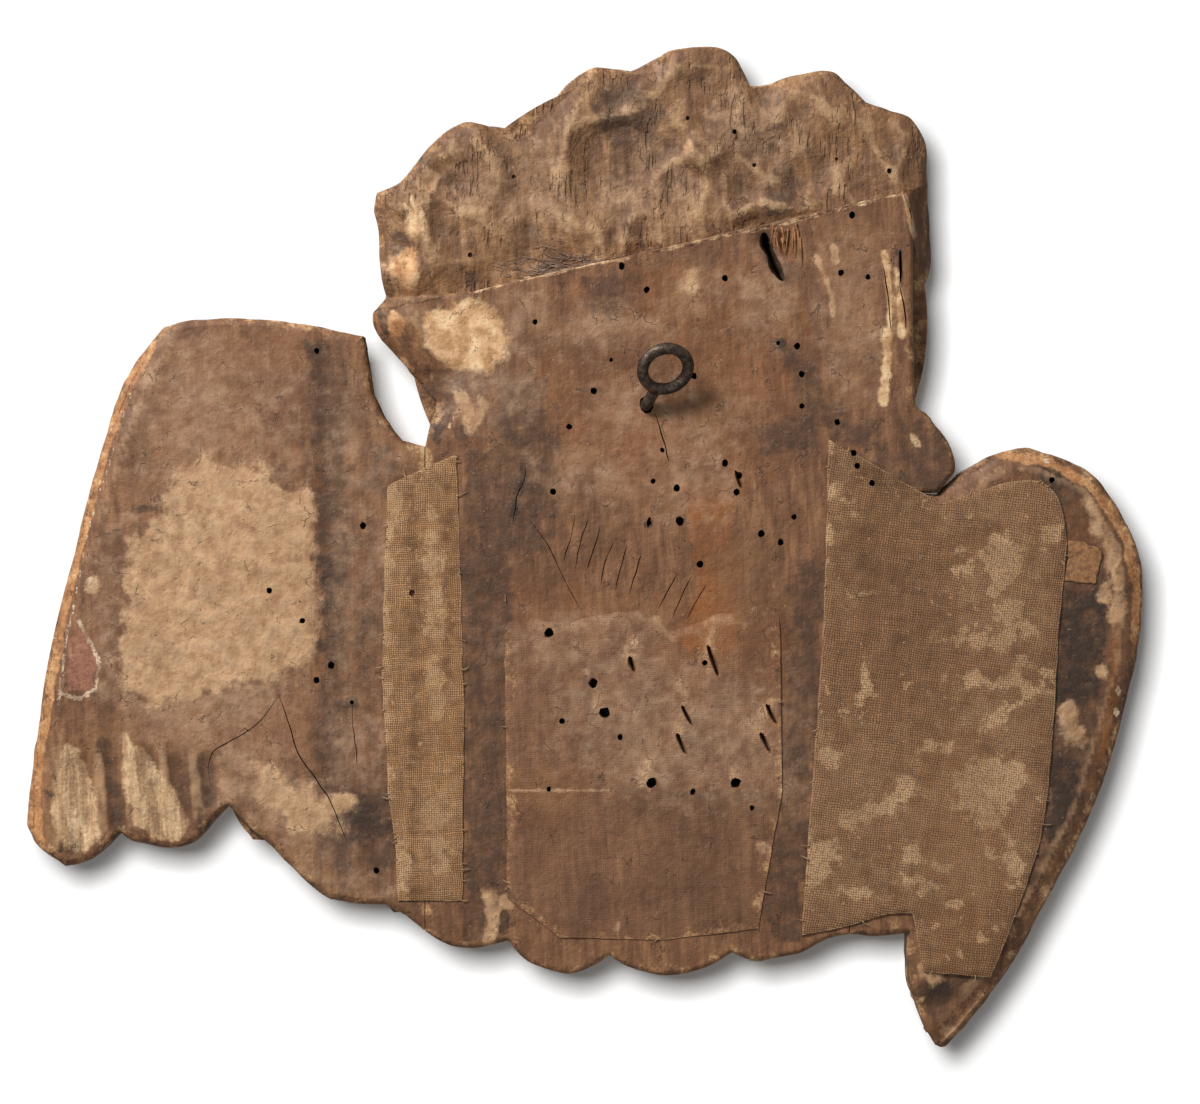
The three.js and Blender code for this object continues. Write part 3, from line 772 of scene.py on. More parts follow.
def bores(name: str, places: Sequence[tuple[float, float]], radius: float, deep: float, seed: int,
        lean: float = 0.18) -> Object:
    """Round holes: uneven rings of points down from above the back, leaning a little.

    Args:
        name: the cutter's name.
        places: their mouths as the photograph shows them.
        radius: of each hole, in millimetres.
        deep: how far they go in.
        seed: of their unevenness.
        lean: how far they may slope, sideways for each millimetre of depth.

    Returns:
        One object of closed pegs.
    """
    chance = np.random.default_rng(seed)
    middle = seen(places)
    turns = np.linspace(0, 2 * math.pi, 9, endpoint=False)
    levels = np.array([CLEAR / 4, 0.0, -deep / 2, -deep])
    slope = chance.uniform(-lean, lean, (len(middle), 2))
    wide = radius * chance.uniform(0.85, 1.2, (len(middle), 1, 1)) * (1 + 0.14
        * chance.uniform(-1, 1, (len(middle), 1, 9)))
    wide = wide * np.array([1, 1, 0.9, 0.6])[None, :, None]
    down = levels[None, :, None]
    x = middle[:, 0, None, None] + slope[:, 0, None, None] * down + wide * np.cos(turns)
    z = middle[:, 1, None, None] + slope[:, 1, None, None] * down + wide * np.sin(turns) * 1.1
    y = np.broadcast_to(BACK + down, x.shape)
    points = np.stack([x, y, z], -1).reshape(-1, 3)
    faces = []
    for n in range(len(middle)):
        start = n * 36
        faces += grid_faces(4, 9, start, around=True).tolist()
        faces += [list(range(start, start + 9)), list(range(start + 27, start + 36))]
    # Every point is marked hollow, so that the finishes paint the holes' insides near black: painted shade.
    return piece(name, points, faces, {"hollow": np.ones(len(points))})


def cleft(name: str, line: Sequence[tuple[float, float]], wide: float, deep: float,
        dark: float = 1.0) -> Object:
    """A wedge along a line: it opens and closes at the ends as the root of a sine, and wanders a little.

    Args:
        name: the cutter's name.
        line: its places in the photograph.
        wide: its greatest width, in millimetres.
        deep: how far it goes in.
        dark: how near black its inside is painted, as shade, up to 1.

    Returns:
        The closed wedge.
    """
    count = max(6, int(away(seen(line[:1]), seen(line[-1:]).repeat(2, 0))[0] / 1.2))
    path = spline(seen(line), count)
    side = np.gradient(path, axis=0)
    side = np.stack([-side[:, 1], side[:, 0]], -1) / np.hypot(*side.T)[:, None]
    path = path + side * (0.25 * noise(flat(path), 3, 51))[:, None]
    uneven = 1 + 0.4 * noise(flat(path), 4, 52)
    open_ = (np.sin(np.linspace(0.03, math.pi - 0.03, count + 1)) ** 0.5 * uneven * wide / 2)[:, None]
    tall = CLEAR / 4
    spread = 1 + tall / deep
    corners = [(path + side * open_ * spread, BACK + tall), (path - side * open_ * spread, BACK + tall),
        (path, BACK - deep)]
    rings = np.stack([standing(at, y) for at, y in corners], 1)
    return skin(name, rings, {"hollow": dark})


# Carved forms of the front


def lock(name: str, path: Array, wide: Array, high: Array, front: Array, strands: int = 7) -> Object:
    """A lock of hair: an oval along a path, cut into strands by grooves, that thins at both ends.

    Args:
        name: the object's name.
        path: points (N, 3).
        wide: half width at each point, (N,).
        high: half height, the same.
        front: the way its height points.
        strands: number of grooves round it: the size shrinks with the distance from a crest of a sine.

    Returns:
        The lock as a closed mesh.
    """
    turns = np.linspace(0, 2 * math.pi, strands * 4, endpoint=False)
    t = np.linspace(0, 1, len(path))
    ends = np.sqrt(np.clip(np.minimum(t / 0.07, (1 - t) / 0.09), 0.02, 1))[:, None]
    crest = np.abs(np.sin(strands * turns / 2 + 2.2 * t[:, None]))
    groove = 1 - 0.2 * (1 - crest) ** 1.5
    rings = tube(path, wide[:, None] * ends * groove, high[:, None] * ends * groove, front, turns)
    return skin(name, rings, {"gilded": 1.0, "crest": crest})


@dataclass(frozen=True)
class Feather:
    """A carved feather: where its quill starts and ends, its width and its sideways bend."""

    root: tuple[float, float]
    tip: tuple[float, float]
    width: float
    bend: float = 0.0

    def between(self, other: "Feather", share: float, reach: float) -> "Feather":
        """A shorter feather, share of the way from this one to the other.

        Args:
            other: the next feather of the row.
            share: 0 at this one, 1 at the other.
            reach: its length as a share of theirs.

        Returns:
            The new feather.
        """
        root, tip = (np.array(a) + share * (np.array(b) - np.array(a))
            for a, b in ((self.root, other.root), (self.tip, other.tip)))
        end = root + (tip - root) * reach
        return Feather(tuple(root), tuple(end), self.width + share * (other.width - self.width),
            reach * (self.bend + share * (other.bend - self.bend)))

    def build(self, level: float, rise: float) -> Object:
        """One blade: widest from two thirds on, round at the tip, with a quill and slanting barbs.

        Args:
            level: how far in front of the planed back it starts, in millimetres.
            rise: how much further its root stands out.

        Returns:
            The blade as a closed slab. Its width follows a quarter of a sine, then of a circle; its barbs a sine.
        """
        root, along = np.array(self.root, float), np.array(self.tip, float) - np.array(self.root, float)
        length = np.hypot(*along)
        side = np.array([-along[1], along[0]]) / length
        t, across = np.meshgrid(np.linspace(0, 1, max(30, int(length / 1.5))), np.linspace(-1, 1, 17),
            indexing="ij")
        taper = np.where(t < 0.65, 0.62 + 0.38 * np.sin(np.minimum(t / 0.65, 1) * math.pi / 2), 1)
        tip = np.sqrt(np.maximum(0.03, 1 - (np.maximum(t - 0.65, 0) / 0.35) ** 2))
        shift = self.bend * 4 * t * (1 - t) + self.width / 2 * across * taper * tip
        at = root + t[..., None] * along + side * shift[..., None]
        barbs = np.abs(np.sin(math.pi * (t * length - 0.55 * self.width * np.abs(across)) / 4.2))
        quill = np.exp(-((across * self.width / 2 / 1.3) ** 2))
        front = level + rise * (1 - 0.5 * t) + (3 * (1 - np.abs(across)) - 1.2 * across) * tip
        front = front + 0.9 * quill - 0.55 * (1 - barbs) ** 2 * (1 - quill)
        values = {"gilded": 1.0, "crest": np.maximum(barbs, quill)}
        return slab("feather", standing(at, BACK - front), standing(at, BACK - 6), values)


def union(body: Object, tools: Sequence[Object]) -> Object:
    """Joins them all to the body."""
    for tool in tools:
        combine(body, tool, "UNION")
    return body


def block(name: str, low: Sequence[float], high: Sequence[float]) -> Object:
    """A plain box between two corners, used only as a cutter."""
    x, z = np.meshgrid([low[0], high[0]], [low[2], high[2]])
    return slab(name, *(np.stack([x, np.full(x.shape, y), z], -1) for y in (low[1], high[1])))


def marked(body: Object, marks: Marks, edge_of: Sequence[Array], level: Callable[[Array], Array]) -> None:
    """Writes each tone's reach, the distance to the outline and the depth of holes as point attributes.

    Args:
        body: the piece.
        marks: its marked areas.
        edge_of: rings whose edge counts.
        level: gives y of its back at places (N, 2).
    """
    mesh = body.data
    at = places_of(mesh)
    flat_at = at[:, [0, 2]]
    for tone in Tone:
        reach = [mark.reach(flat_at) for mark in marks.get(tone, ())]
        set_values(mesh, tone.value, np.clip(np.max(reach, 0) if reach else np.full(len(at), -9.0), -9, 9))
    edge = np.max([inside(flat_at, ring) for ring in edge_of], 0)
    set_values(mesh, "edge", np.clip(edge, 0, 15))
    # low: how far each place lies below its neighbours, from which the wood's finish paints shade in hollows and a
    # highlight on ridges.
    own = level(flat_at)
    rise = np.array([level(flat_at + np.array(step) * reach) - own for reach in (1.6, 4.5)
        for step in ((1, 0), (-1, 0), (0, 1), (0, -1))])
    set_values(mesh, "low", np.clip(np.where(abs(rise) < 1.5, rise, 0).mean(0), -0.6, 0.6)
        * smooth(1, 6, edge))
    # hollow: the parts of holes that lie below the surface, which the finishes paint near black as shade.
    sunk = smooth(0.25, 1.2, level(flat_at) - at[:, 1])
    set_values(mesh, "hollow", values_of(mesh, "hollow") * sunk * (edge > 1.2))


def painted(body: Object, finishes: Sequence["Finish"]) -> None:
    """Gives the back and its walls the first finish, gilded forms the second and the face the third.

    Args:
        body: the piece.
        finishes: two or three finishes.
    """
    mesh = body.data
    mesh.materials.clear()
    for finish in finishes:
        mesh.materials.append(finish.material())
    at = places_of(mesh)
    behind = face_means(mesh, at[:, 1]) > BACK - 7
    normal = np.zeros(len(mesh.polygons) * 3, np.float32)
    mesh.polygons.foreach_get("normal", normal)
    behind |= (normal.reshape(-1, 3)[:, 1] > 0.3) & (face_means(mesh, at[:, 1]) > BACK - 16)
    behind |= face_means(mesh, values_of(mesh, "hollow")) > 0.2
    choice = np.where(behind, 0, 1)
    if len(finishes) > 2:
        choice = np.where(face_means(mesh, values_of(mesh, "flesh")) > 0.5, 2, choice)
    mesh.polygons.foreach_set("material_index", choice.astype(np.int32))


# Finishes


def linear(colour: str) -> tuple[float, float, float, float]:
    """An sRGB hex value as linear red, green, blue and 1."""
    parts = [int(colour[k : k + 2], 16) / 255 for k in (1, 3, 5)]
    return (*(c / 12.92 if c <= 0.04045 else ((c + 0.055) / 1.055) ** 2.4 for c in parts), 1.0)


def add(tree: Tree, kind: str, links: dict | None = None, ramp: Sequence | None = None,
        **settings: object) -> Node:
    """Adds one node to the tree.

    Args:
        tree: the material's nodes.
        kind: the node's type after ShaderNode.
        links: a value, node or socket for inputs, each by its number or by the name of an enabled one.
        ramp: (place, colour) stops of a colour ramp.
        settings: the node's own settings.

    Returns:
        The node; where it is an input's value, its first enabled output is taken.
    """
    made = tree.nodes.new("ShaderNode" + kind)
    for key, value in settings.items():
        setattr(made, key, value)
    for key, value in (links or {}).items():
        socket = made.inputs[key] if isinstance(key, int) else next(s
            for s in made.inputs if s.name == key and s.enabled)
        if isinstance(value, Node):
            value = next(s for s in value.outputs if s.enabled)
        if isinstance(value, Socket):
            tree.links.new(value, socket)
        else:
            socket.default_value = value
    if ramp:
        stops = made.color_ramp.elements
        while len(stops) < len(ramp):
            stops.new(0.5)
        for stop, (place, colour) in zip(stops, ramp):
            stop.position, stop.color = place, linear(colour)
    return made


@dataclass(frozen=True)
class Patterns:
    """Noises that all layers on the back share, three of each kind."""

    stain: Node
    broad: tuple  # stains, as three channels
    medium: tuple  # patches
    crumb: tuple
    uneven: tuple  # patches with a quarter of the stains


@dataclass(frozen=True)
class Finish:
    """A finish: its name, and the nodes that make its look."""

    name: str

    def material(self) -> bpy.types.Material:
        """The Blender material, made once for each name."""
        known = bpy.data.materials.get(self.name)
        if known:
            return known
        material = bpy.data.materials.new(self.name)
        material.use_nodes = True
        tree = material.node_tree
        tree.nodes.clear()
        add(tree, "OutputMaterial", {"Surface": self.shader(tree)})
        return material

    def shader(self, tree: Tree) -> Node:
        """The node that gives the surface."""
        raise NotImplementedError

    def millimetres(self, tree: Tree, stretch: tuple[float, float, float] = (1, 1, 1),
            turn: float = 0) -> Node:
        """Object coordinates in millimetres, turned about Y, then each axis multiplied by stretch."""
        place = add(tree, "TexCoord").outputs["Object"]
        sizes = tuple(MM / s for s in stretch)
        return add(tree, "Mapping", {"Vector": place, "Rotation": (0, turn, 0), "Scale": sizes},
            vector_type="TEXTURE")

    def patterns(self, tree: Tree) -> Patterns:
        """Stains 20 mm wide, patches of 5 mm and crumbs of 0.9 mm."""
        place = self.millimetres(tree)
        sizes = ((0.05, 6.0, 0.6), (0.2, 5.0, 0.58), (1.1, 3.0, 0.62))
        noises = [add(tree, "TexNoise", {"Vector": place, "Scale": s, "Detail": d, "Roughness": r})
            for s, d, r in sizes]
        parts = [tuple(add(tree, "SeparateColor", {0: n.outputs["Color"]}).outputs) for n in noises]
        uneven = tuple(self.summed(tree, (medium, 0.75), (broad, 0.25))
            for broad, medium in zip(parts[0], parts[1]))
        return Patterns(noises[0], *parts, uneven)

    def covered(self, tree: Tree, name: str, uneven: object, ragged: float = 8.0, blend: float = 0.6) -> Node:
        """0 to 1 over the area of a point attribute, its border made ragged by uneven noise.

        Args:
            tree: the material's nodes.
            name: the attribute's name.
            uneven: the noise.
            ragged: how far it moves the border.
            blend: the border's half width.

        Returns:
            The cover.
        """
        reach = add(tree, "Attribute", attribute_name=name).outputs["Fac"]
        shifted = add(tree, "Math", {0: uneven, 1: ragged, 2: reach}, operation="MULTIPLY_ADD")
        return add(tree, "MapRange", {"Value": shifted, "From Min": ragged / 2 - blend,
            "From Max": ragged / 2 + blend}, interpolation_type="SMOOTHSTEP")

    def patchy(self, tree: Tree, cover: object, thin: object, most: float, least: float = 0.45) -> Node:
        """A covered area times a share, from least to most, that follows the noise thin.

        Args:
            tree: the material's nodes.
            cover: the area.
            thin: the noise.
            most: the greatest share.
            least: the smallest, as a part of most.

        Returns:
            The patchy cover.
        """
        share = add(tree, "MapRange", {"Value": thin, "From Min": 0.4, "From Max": 0.6,
            "To Min": least * most, "To Max": most})
        return add(tree, "Math", {0: cover, 1: share}, operation="MULTIPLY")

    def over(self, tree: Tree, below: object, above: object, share: object, way: str = "MIX") -> Node:
        """One colour laid over another; the upper one may be an sRGB hex value."""
        upper = linear(above) if isinstance(above, str) else above
        return add(tree, "Mix", {"Factor": share, "A": below, "B": upper}, data_type="RGBA", blend_type=way)

    def stained(
        self, tree: Tree, below: object, above: object, value: object, low: float, high: float,
        most: float = 1.0
    ) -> tuple[Node, Node]:
        """One colour laid over another where a value is high, or where it is low if low is above high.

        Args:
            tree: the material's nodes.
            below: the colour so far.
            above: the colour on top, as an sRGB hex value or a node.
            value: what the cover follows.
            low: the value where it starts.
            high: the value from which it is full.
            most: the full cover, up to 1.

        Returns:
            The new colour, and the cover.
        """
        cover = add(tree, "MapRange", {"Value": value, "From Min": low, "From Max": high, "To Max": most})
        return self.over(tree, below, above, cover), cover

    def summed(self, tree: Tree, *parts: tuple[object, object]) -> Node:
        """A sum of values, each times its share.

        Args:
            tree: the material's nodes.
            parts: each value and its share, in the order in which they are added.

        Returns:
            The node that gives the sum.
        """
        (value, share), *rest = parts
        total = add(tree, "Math", {0: value, 1: share}, operation="MULTIPLY")
        for value, share in rest:
            total = add(tree, "Math", {0: value, 1: share, 2: total}, operation="MULTIPLY_ADD")
        return total

    def woven(self, tree: Tree, pitch: float) -> tuple[Node, Node]:
        """A plain weave on the UV map "threads".

        Over and under follow the parity of the thread numbers; each thread is a half sine across and swells
        where it passes over. Slubs are noise drawn out along the threads.

        Args:
            tree: the material's nodes.
            pitch: millimetres from thread to thread.

        Returns:
            The height from 0 to 1, and the lightness of each thread.
        """
        plain = add(tree, "UVMap", uv_map="threads")
        wander = add(tree, "TexNoise", {"Vector": plain, "Scale": 0.12, "Detail": 2.0})
        bent = add(tree, "VectorMath", {0: wander.outputs["Color"], 1: (2.2, 2.2, 0), 2: plain},
            operation="MULTIPLY_ADD")
        count = add(tree, "VectorMath", {0: bent, 1: (1 / pitch, 1 / pitch, 1)}, operation="MULTIPLY")
        axes = add(tree, "SeparateXYZ", {0: count})
        waves, numbers, slubs = [], [], []
        for axis, stretch in ((0, (1.0, 0.06, 1)), (1, (0.06, 1.0, 1))):
            part = add(tree, "Math", {0: axes.outputs[axis]}, operation="FRACT")
            numbers.append(add(tree, "Math", {0: axes.outputs[axis]}, operation="FLOOR"))
            waves.append(add(tree, "Math", {0: add(tree, "Math", {0: part, 1: math.pi},
                operation="MULTIPLY")}, operation="SINE"))
            drawn = add(tree, "VectorMath", {0: count, 1: stretch}, operation="MULTIPLY")
            slubs.append(add(tree, "TexNoise", {"Vector": drawn, "Scale": 1.0, "Detail": 2.0,
                "Roughness": 0.6}))
        parity = add(tree, "Math", {0: add(tree, "Math", {0: numbers[0], 1: numbers[1]}, operation="ADD"),
            1: 2.0}, operation="FLOORED_MODULO")
        over = []
        for own, other in (waves, waves[::-1]):
            swell = add(tree, "Math", {0: other, 1: 0.45, 2: 0.55}, operation="MULTIPLY_ADD")
            over.append(add(tree, "Math", {0: own, 1: swell}, operation="MULTIPLY"))
        height = add(tree, "Mix", {"Factor": parity, "A": over[0], "B": over[1]})
        return height, add(tree, "Mix", {"Factor": parity, "A": slubs[0].outputs[0],
            "B": slubs[1].outputs[0]})


@dataclass(frozen=True)
class AgedLimewood(Finish):
    """Limewood, planed or gouged, then two centuries of shellac, size, dust and handling."""

    # Fine even grain along the height, wiped with brown washes, matt with a dull shine where shellac stayed.
    name: str = "limewood_aged_sized"
    light: str = "#a98160"
    middle: str = "#845e43"
    dark: str = "#5c402d"

    def shader(self, tree: Tree) -> Node:
        """Grain first, then each layer that came on top of it, from old to new, and painted shade and highlight."""
        p = self.patterns(tree)
        grain = add(tree, "TexNoise", {"Vector": self.millimetres(tree, (1.0, 1.0, 0.05)), "Scale": 1.0,
            "Detail": 4.0, "Roughness": 0.6})
        brush = add(tree, "TexNoise", {"Vector": self.millimetres(tree, (0.3, 0.3, 0.05), 0.12),
            "Scale": 1.0, "Detail": 4.0, "Roughness": 0.55})
        mixed = self.summed(tree, (brush.outputs[0], 0.65), (grain.outputs[0], 0.35))
        colour = add(tree, "ValToRGB", {0: mixed}, ramp=[(0.32, self.dark), (0.5, self.middle),
            (0.7, self.light)])
        chiselled = self.covered(tree, "fresh", p.uneven[0])
        freshly = add(tree, "ValToRGB", {0: mixed}, ramp=[(0.38, "#6d4e37"), (0.5, "#8f6c4e"),
            (0.62, "#ae8a68")])
        colour = self.over(tree, colour, freshly, chiselled)
        for name, above, most in (("mauve", "#9d7459", 0.75), ("warm", "#8e5c35", 0.6),
                ("orange", "#a3662d", 0.8)):
            colour = self.over(tree, colour, above, self.patchy(tree, self.covered(tree, name, p.uneven[1]),
                p.medium[0], most))
        colour, _ = self.stained(tree, colour, "#5f412d", p.stain.outputs[0], 0.45, 0.6, 0.5)
        colour, _ = self.stained(tree, colour, "#a07a57", p.broad[2], 0.52, 0.66, 0.4)
        # One thin wash of brown shellac over all of it, that the later, chalky layers lie on.
        colour = self.over(tree, colour, "#ddd1bf", 1.0, "MULTIPLY")
        for name, above, most in (("dark", "#402c1d", 0.8), ("black", "#291d14", 0.92)):
            colour = self.over(tree, colour, above, self.patchy(tree, self.covered(tree, name, p.uneven[1]),
                p.medium[0], most))
        veil = self.patchy(tree, self.covered(tree, "smear", p.uneven[2], 14.0, 2.6), p.uneven[1], 0.6, 0.15)
        colour = self.over(tree, colour, "#a9876a", veil)
        pale = add(tree, "ValToRGB", {0: p.uneven[0]}, ramp=[(0.38, "#a27b59"), (0.5, "#b58e68"),
            (0.62, "#c6a17b")])
        lifted = self.patchy(tree, self.covered(tree, "pale", p.uneven[2], 10.0, 1.0), p.uneven[1], 1.0, 0.6)
        colour = self.over(tree, colour, pale, lifted)
        putty = add(tree, "ValToRGB", {0: p.uneven[1]}, ramp=[(0.4, "#a57c50"), (0.5, "#c59c72"),
            (0.6, "#d8b88c")])
        colour = self.over(tree, colour, putty, self.covered(tree, "putty", p.uneven[0], 9.0, 1.0))
        # Bare wood where the tone cream is marked; along the stop cut it is also a painted highlight on its upward
        # step.
        bare_wood_and_edge_highlight = add(tree, "ValToRGB", {0: mixed}, ramp=[(0.4, "#977453"), (0.5, "#b8936c"),
            (0.6, "#d3b38b")])
        colour = self.over(tree, colour, bare_wood_and_edge_highlight, self.patchy(tree, self.covered(tree, "cream", p.uneven[1]),
            p.crumb[1], 1.0, 0.6))
        grit = self.summed(tree, (p.medium[1], 0.65), (p.crumb[0], 0.35))
        gold = add(tree, "ValToRGB", {0: grit}, ramp=[(0.38, "#8f5f38"), (0.5, "#ad784b"), (0.62, "#c99a68")])
        colour = self.over(tree, colour, gold, self.patchy(tree, self.covered(tree, "gilt", p.uneven[2]),
            p.medium[2], 0.95, 0.75))
        bole = self.patchy(tree, self.covered(tree, "bole", p.uneven[1]), p.crumb[1], 0.85, 0.4)
        colour = self.over(tree, colour, "#98624d", bole)
        colour, _ = self.stained(tree, colour, "#553b28", p.medium[0], 0.54, 0.7, 0.4)
        # Painted shade, with some dirt, in the hollows of the carved relief, and a painted highlight on its ridges,
        # both from the attribute low.
        deep = add(tree, "Math", {0: p.medium[0], 1: 0.5,
            2: add(tree, "Attribute", attribute_name="low").outputs["Fac"]}, operation="MULTIPLY_ADD")
        colour, _ = self.stained(tree, colour, "#3f2b1c", deep, 0.34, 0.75, 0.6)
        colour, _ = self.stained(tree, colour, "#bd9871", deep, 0.16, -0.1, 0.45)
        tears = add(tree, "TexNoise", {"Vector": self.millimetres(tree, (0.62, 0.62, 0.06)), "Scale": 1.0,
            "Detail": 3.0, "Roughness": 0.5})
        torn = add(tree, "MapRange", {"Value": tears.outputs[0], "From Min": 0.53, "From Max": 0.62})
        where = add(tree, "MapRange", {"Value": p.broad[1], "From Min": 0.51, "From Max": 0.58})
        torn = add(tree, "Math", {0: torn, 1: add(tree, "Math", {0: where, 1: chiselled},
            operation="MULTIPLY")}, operation="MULTIPLY")
        # Painted shade along the torn fibres of the chiselled hair, where the relief also dips.
        colour = self.over(tree, colour, "#61452f", add(tree, "Math", {0: torn, 1: 0.45},
            operation="MULTIPLY"))
        bent = add(tree, "VectorMath", {0: p.stain.outputs["Color"], 1: (34, 34, 34),
            2: self.millimetres(tree)}, operation="MULTIPLY_ADD")
        split = add(tree, "TexVoronoi", {"Vector": bent, "Scale": 0.06}, feature="DISTANCE_TO_EDGE")
        line = add(tree, "MapRange", {"Value": split.outputs["Distance"], "From Min": 0.02,
            "From Max": 0.004})
        some = add(tree, "MapRange", {"Value": p.medium[2], "From Min": 0.52, "From Max": 0.62,
            "To Max": 0.55})
        line = add(tree, "Math", {0: line, 1: some}, operation="MULTIPLY")
        colour = self.over(tree, colour, "#3a291c", line)
        edge = add(tree, "Attribute", attribute_name="edge").outputs["Fac"]
        near = add(tree, "Math", {0: p.uneven[2], 1: -22.0, 2: edge}, operation="MULTIPLY_ADD")
        rubbed = add(tree, "MapRange", {"Value": near, "From Min": -11.0, "From Max": -9.0, "To Min": 0.65,
            "To Max": 0.0})
        worn = add(tree, "ValToRGB", {0: grit}, ramp=[(0.4, "#4a321f"), (0.48, "#80593a"), (0.56, "#b08458"),
            (0.64, "#d3b083")])
        colour = self.over(tree, colour, worn, rubbed)
        colour, _ = self.stained(tree, colour, "#b99a74", p.crumb[1], 0.67, 0.72, 0.45)
        colour, _ = self.stained(tree, colour, "#33241a", p.crumb[0], 0.36, 0.3, 0.6)
        chalk = self.patchy(tree, self.covered(tree, "gesso", p.crumb[2], 5.0, 0.35), p.medium[1], 0.9, 0.2)
        colour = self.over(tree, colour, "#ceb394", chalk)
        # Painted shade: the insides of holes, cracks and strokes near black.
        colour = self.over(tree, colour, "#120b07", add(tree, "Attribute",
            attribute_name="hollow").outputs["Fac"])
        rough = add(tree, "MapRange", {"Value": chiselled, "To Min": 0.3, "To Max": 0.75})
        relief = self.summed(
            tree, (p.medium[0], rough), (grain.outputs[0], 0.07), (p.crumb[0], 0.06),
            (p.stain.outputs[0], 1.4),
            (brush.outputs[0], 0.08), (lifted, 0.16), (chalk, 0.25), (line, -0.4), (torn, -0.7),
        )
        bump = add(tree, "Bump", {"Height": self.ground(tree, relief), "Distance": MM, "Strength": 1.0})
        gloss = add(tree, "MapRange", {"Value": p.medium[0], "From Min": 0.3, "From Max": 0.7, "To Min": 0.5,
            "To Max": 0.78})
        return add(tree, "BsdfPrincipled", {"Base Color": colour, "Roughness": gloss, "Normal": bump,
            "Specular IOR Level": 0.4})

    def ground(self, tree: Tree, relief: Node) -> Node:
        """The relief as it is on bare wood."""
        return relief


@dataclass(frozen=True)
class PaintedLinen(AgedLimewood):
    """Fine linen under the same brown washes as the wood round it, its weave only just showing."""

    # Threads 0.55 mm apart, filled with size and paint, so that only their tops stand out.
    name: str = "linen_patch_painted"
    light: str = "#9a7456"
    middle: str = "#856047"
    dark: str = "#6b4c38"

    def ground(self, tree: Tree, relief: Node) -> Node:
        """The weave, faint, on top of the wood's own relief."""
        return add(tree, "Math", {0: self.woven(tree, 0.55)[0], 1: 0.06, 2: relief}, operation="MULTIPLY_ADD")


@dataclass(frozen=True)
class WornGilding(Finish):
    """Water gilding over red bole on chalk gesso, rubbed through on the crests; painted shade and dust in the
    grooves.
    """

    # Leaf is a metal with a soft shine; bole shows red where it is thin, gesso cream where it chipped.
    name: str = "gilding_worn_on_bole"

    def shader(self, tree: Tree) -> Node:
        """Gold under painted groove shade with dirt, bole and gesso, mixed by crest, groove and noise."""
        place = self.millimetres(tree)
        broad = add(tree, "TexNoise", {"Vector": place, "Scale": 0.06, "Detail": 4.0})
        mottle = add(tree, "TexNoise", {"Vector": place, "Scale": 0.35, "Detail": 5.0, "Roughness": 0.65})
        fine = add(tree, "TexNoise", {"Vector": place, "Scale": 1.6, "Detail": 3.0})
        crest = add(tree, "Attribute", attribute_name="crest").outputs["Fac"]
        gold = add(tree, "ValToRGB", {0: broad.outputs[0]},
            ramp=[(0.35, "#8f6228"), (0.5, "#b98a3e"), (0.65, "#cfa555")])
        high = add(tree, "Math", {0: mottle.outputs[0], 1: 0.9, 2: crest}, operation="MULTIPLY_ADD")
        colour, rubbed = self.stained(tree, gold, "#7d3f2a", high, 1.42, 1.56, 0.85)
        colour, lost = self.stained(tree, colour, "#c9b08c", mottle.outputs[0], 0.64, 0.67)
        # Darker where crest is low, in the grooves: painted shade, with dirt.
        low = add(tree, "Math", {0: mottle.outputs[0], 1: -0.8, 2: crest}, operation="MULTIPLY_ADD")
        hollow_shade_and_grime = add(tree, "MapRange", {"Value": low, "From Min": 0.32, "From Max": -0.12, "To Min": 0.08,
            "To Max": 0.9})
        colour = self.over(tree, colour, "#3a2a1c", hollow_shade_and_grime)
        bare = add(tree, "Math", {0: rubbed, 1: lost}, operation="MAXIMUM")
        bare = add(tree, "Math", {0: bare, 1: hollow_shade_and_grime}, operation="MAXIMUM")
        metal = add(tree, "MapRange", {"Value": bare, "From Max": 0.7, "To Min": 0.75, "To Max": 0.0})
        gloss = add(tree, "MapRange", {"Value": bare, "To Min": 0.4, "To Max": 0.8})
        relief = self.summed(tree, (fine.outputs[0], 0.12), (mottle.outputs[0], 0.35), (lost, -0.18))
        bump = add(tree, "Bump", {"Height": relief, "Distance": MM, "Strength": 1.0})
        return add(tree, "BsdfPrincipled", {"Base Color": colour, "Metallic": metal, "Roughness": gloss,
            "Normal": bump})


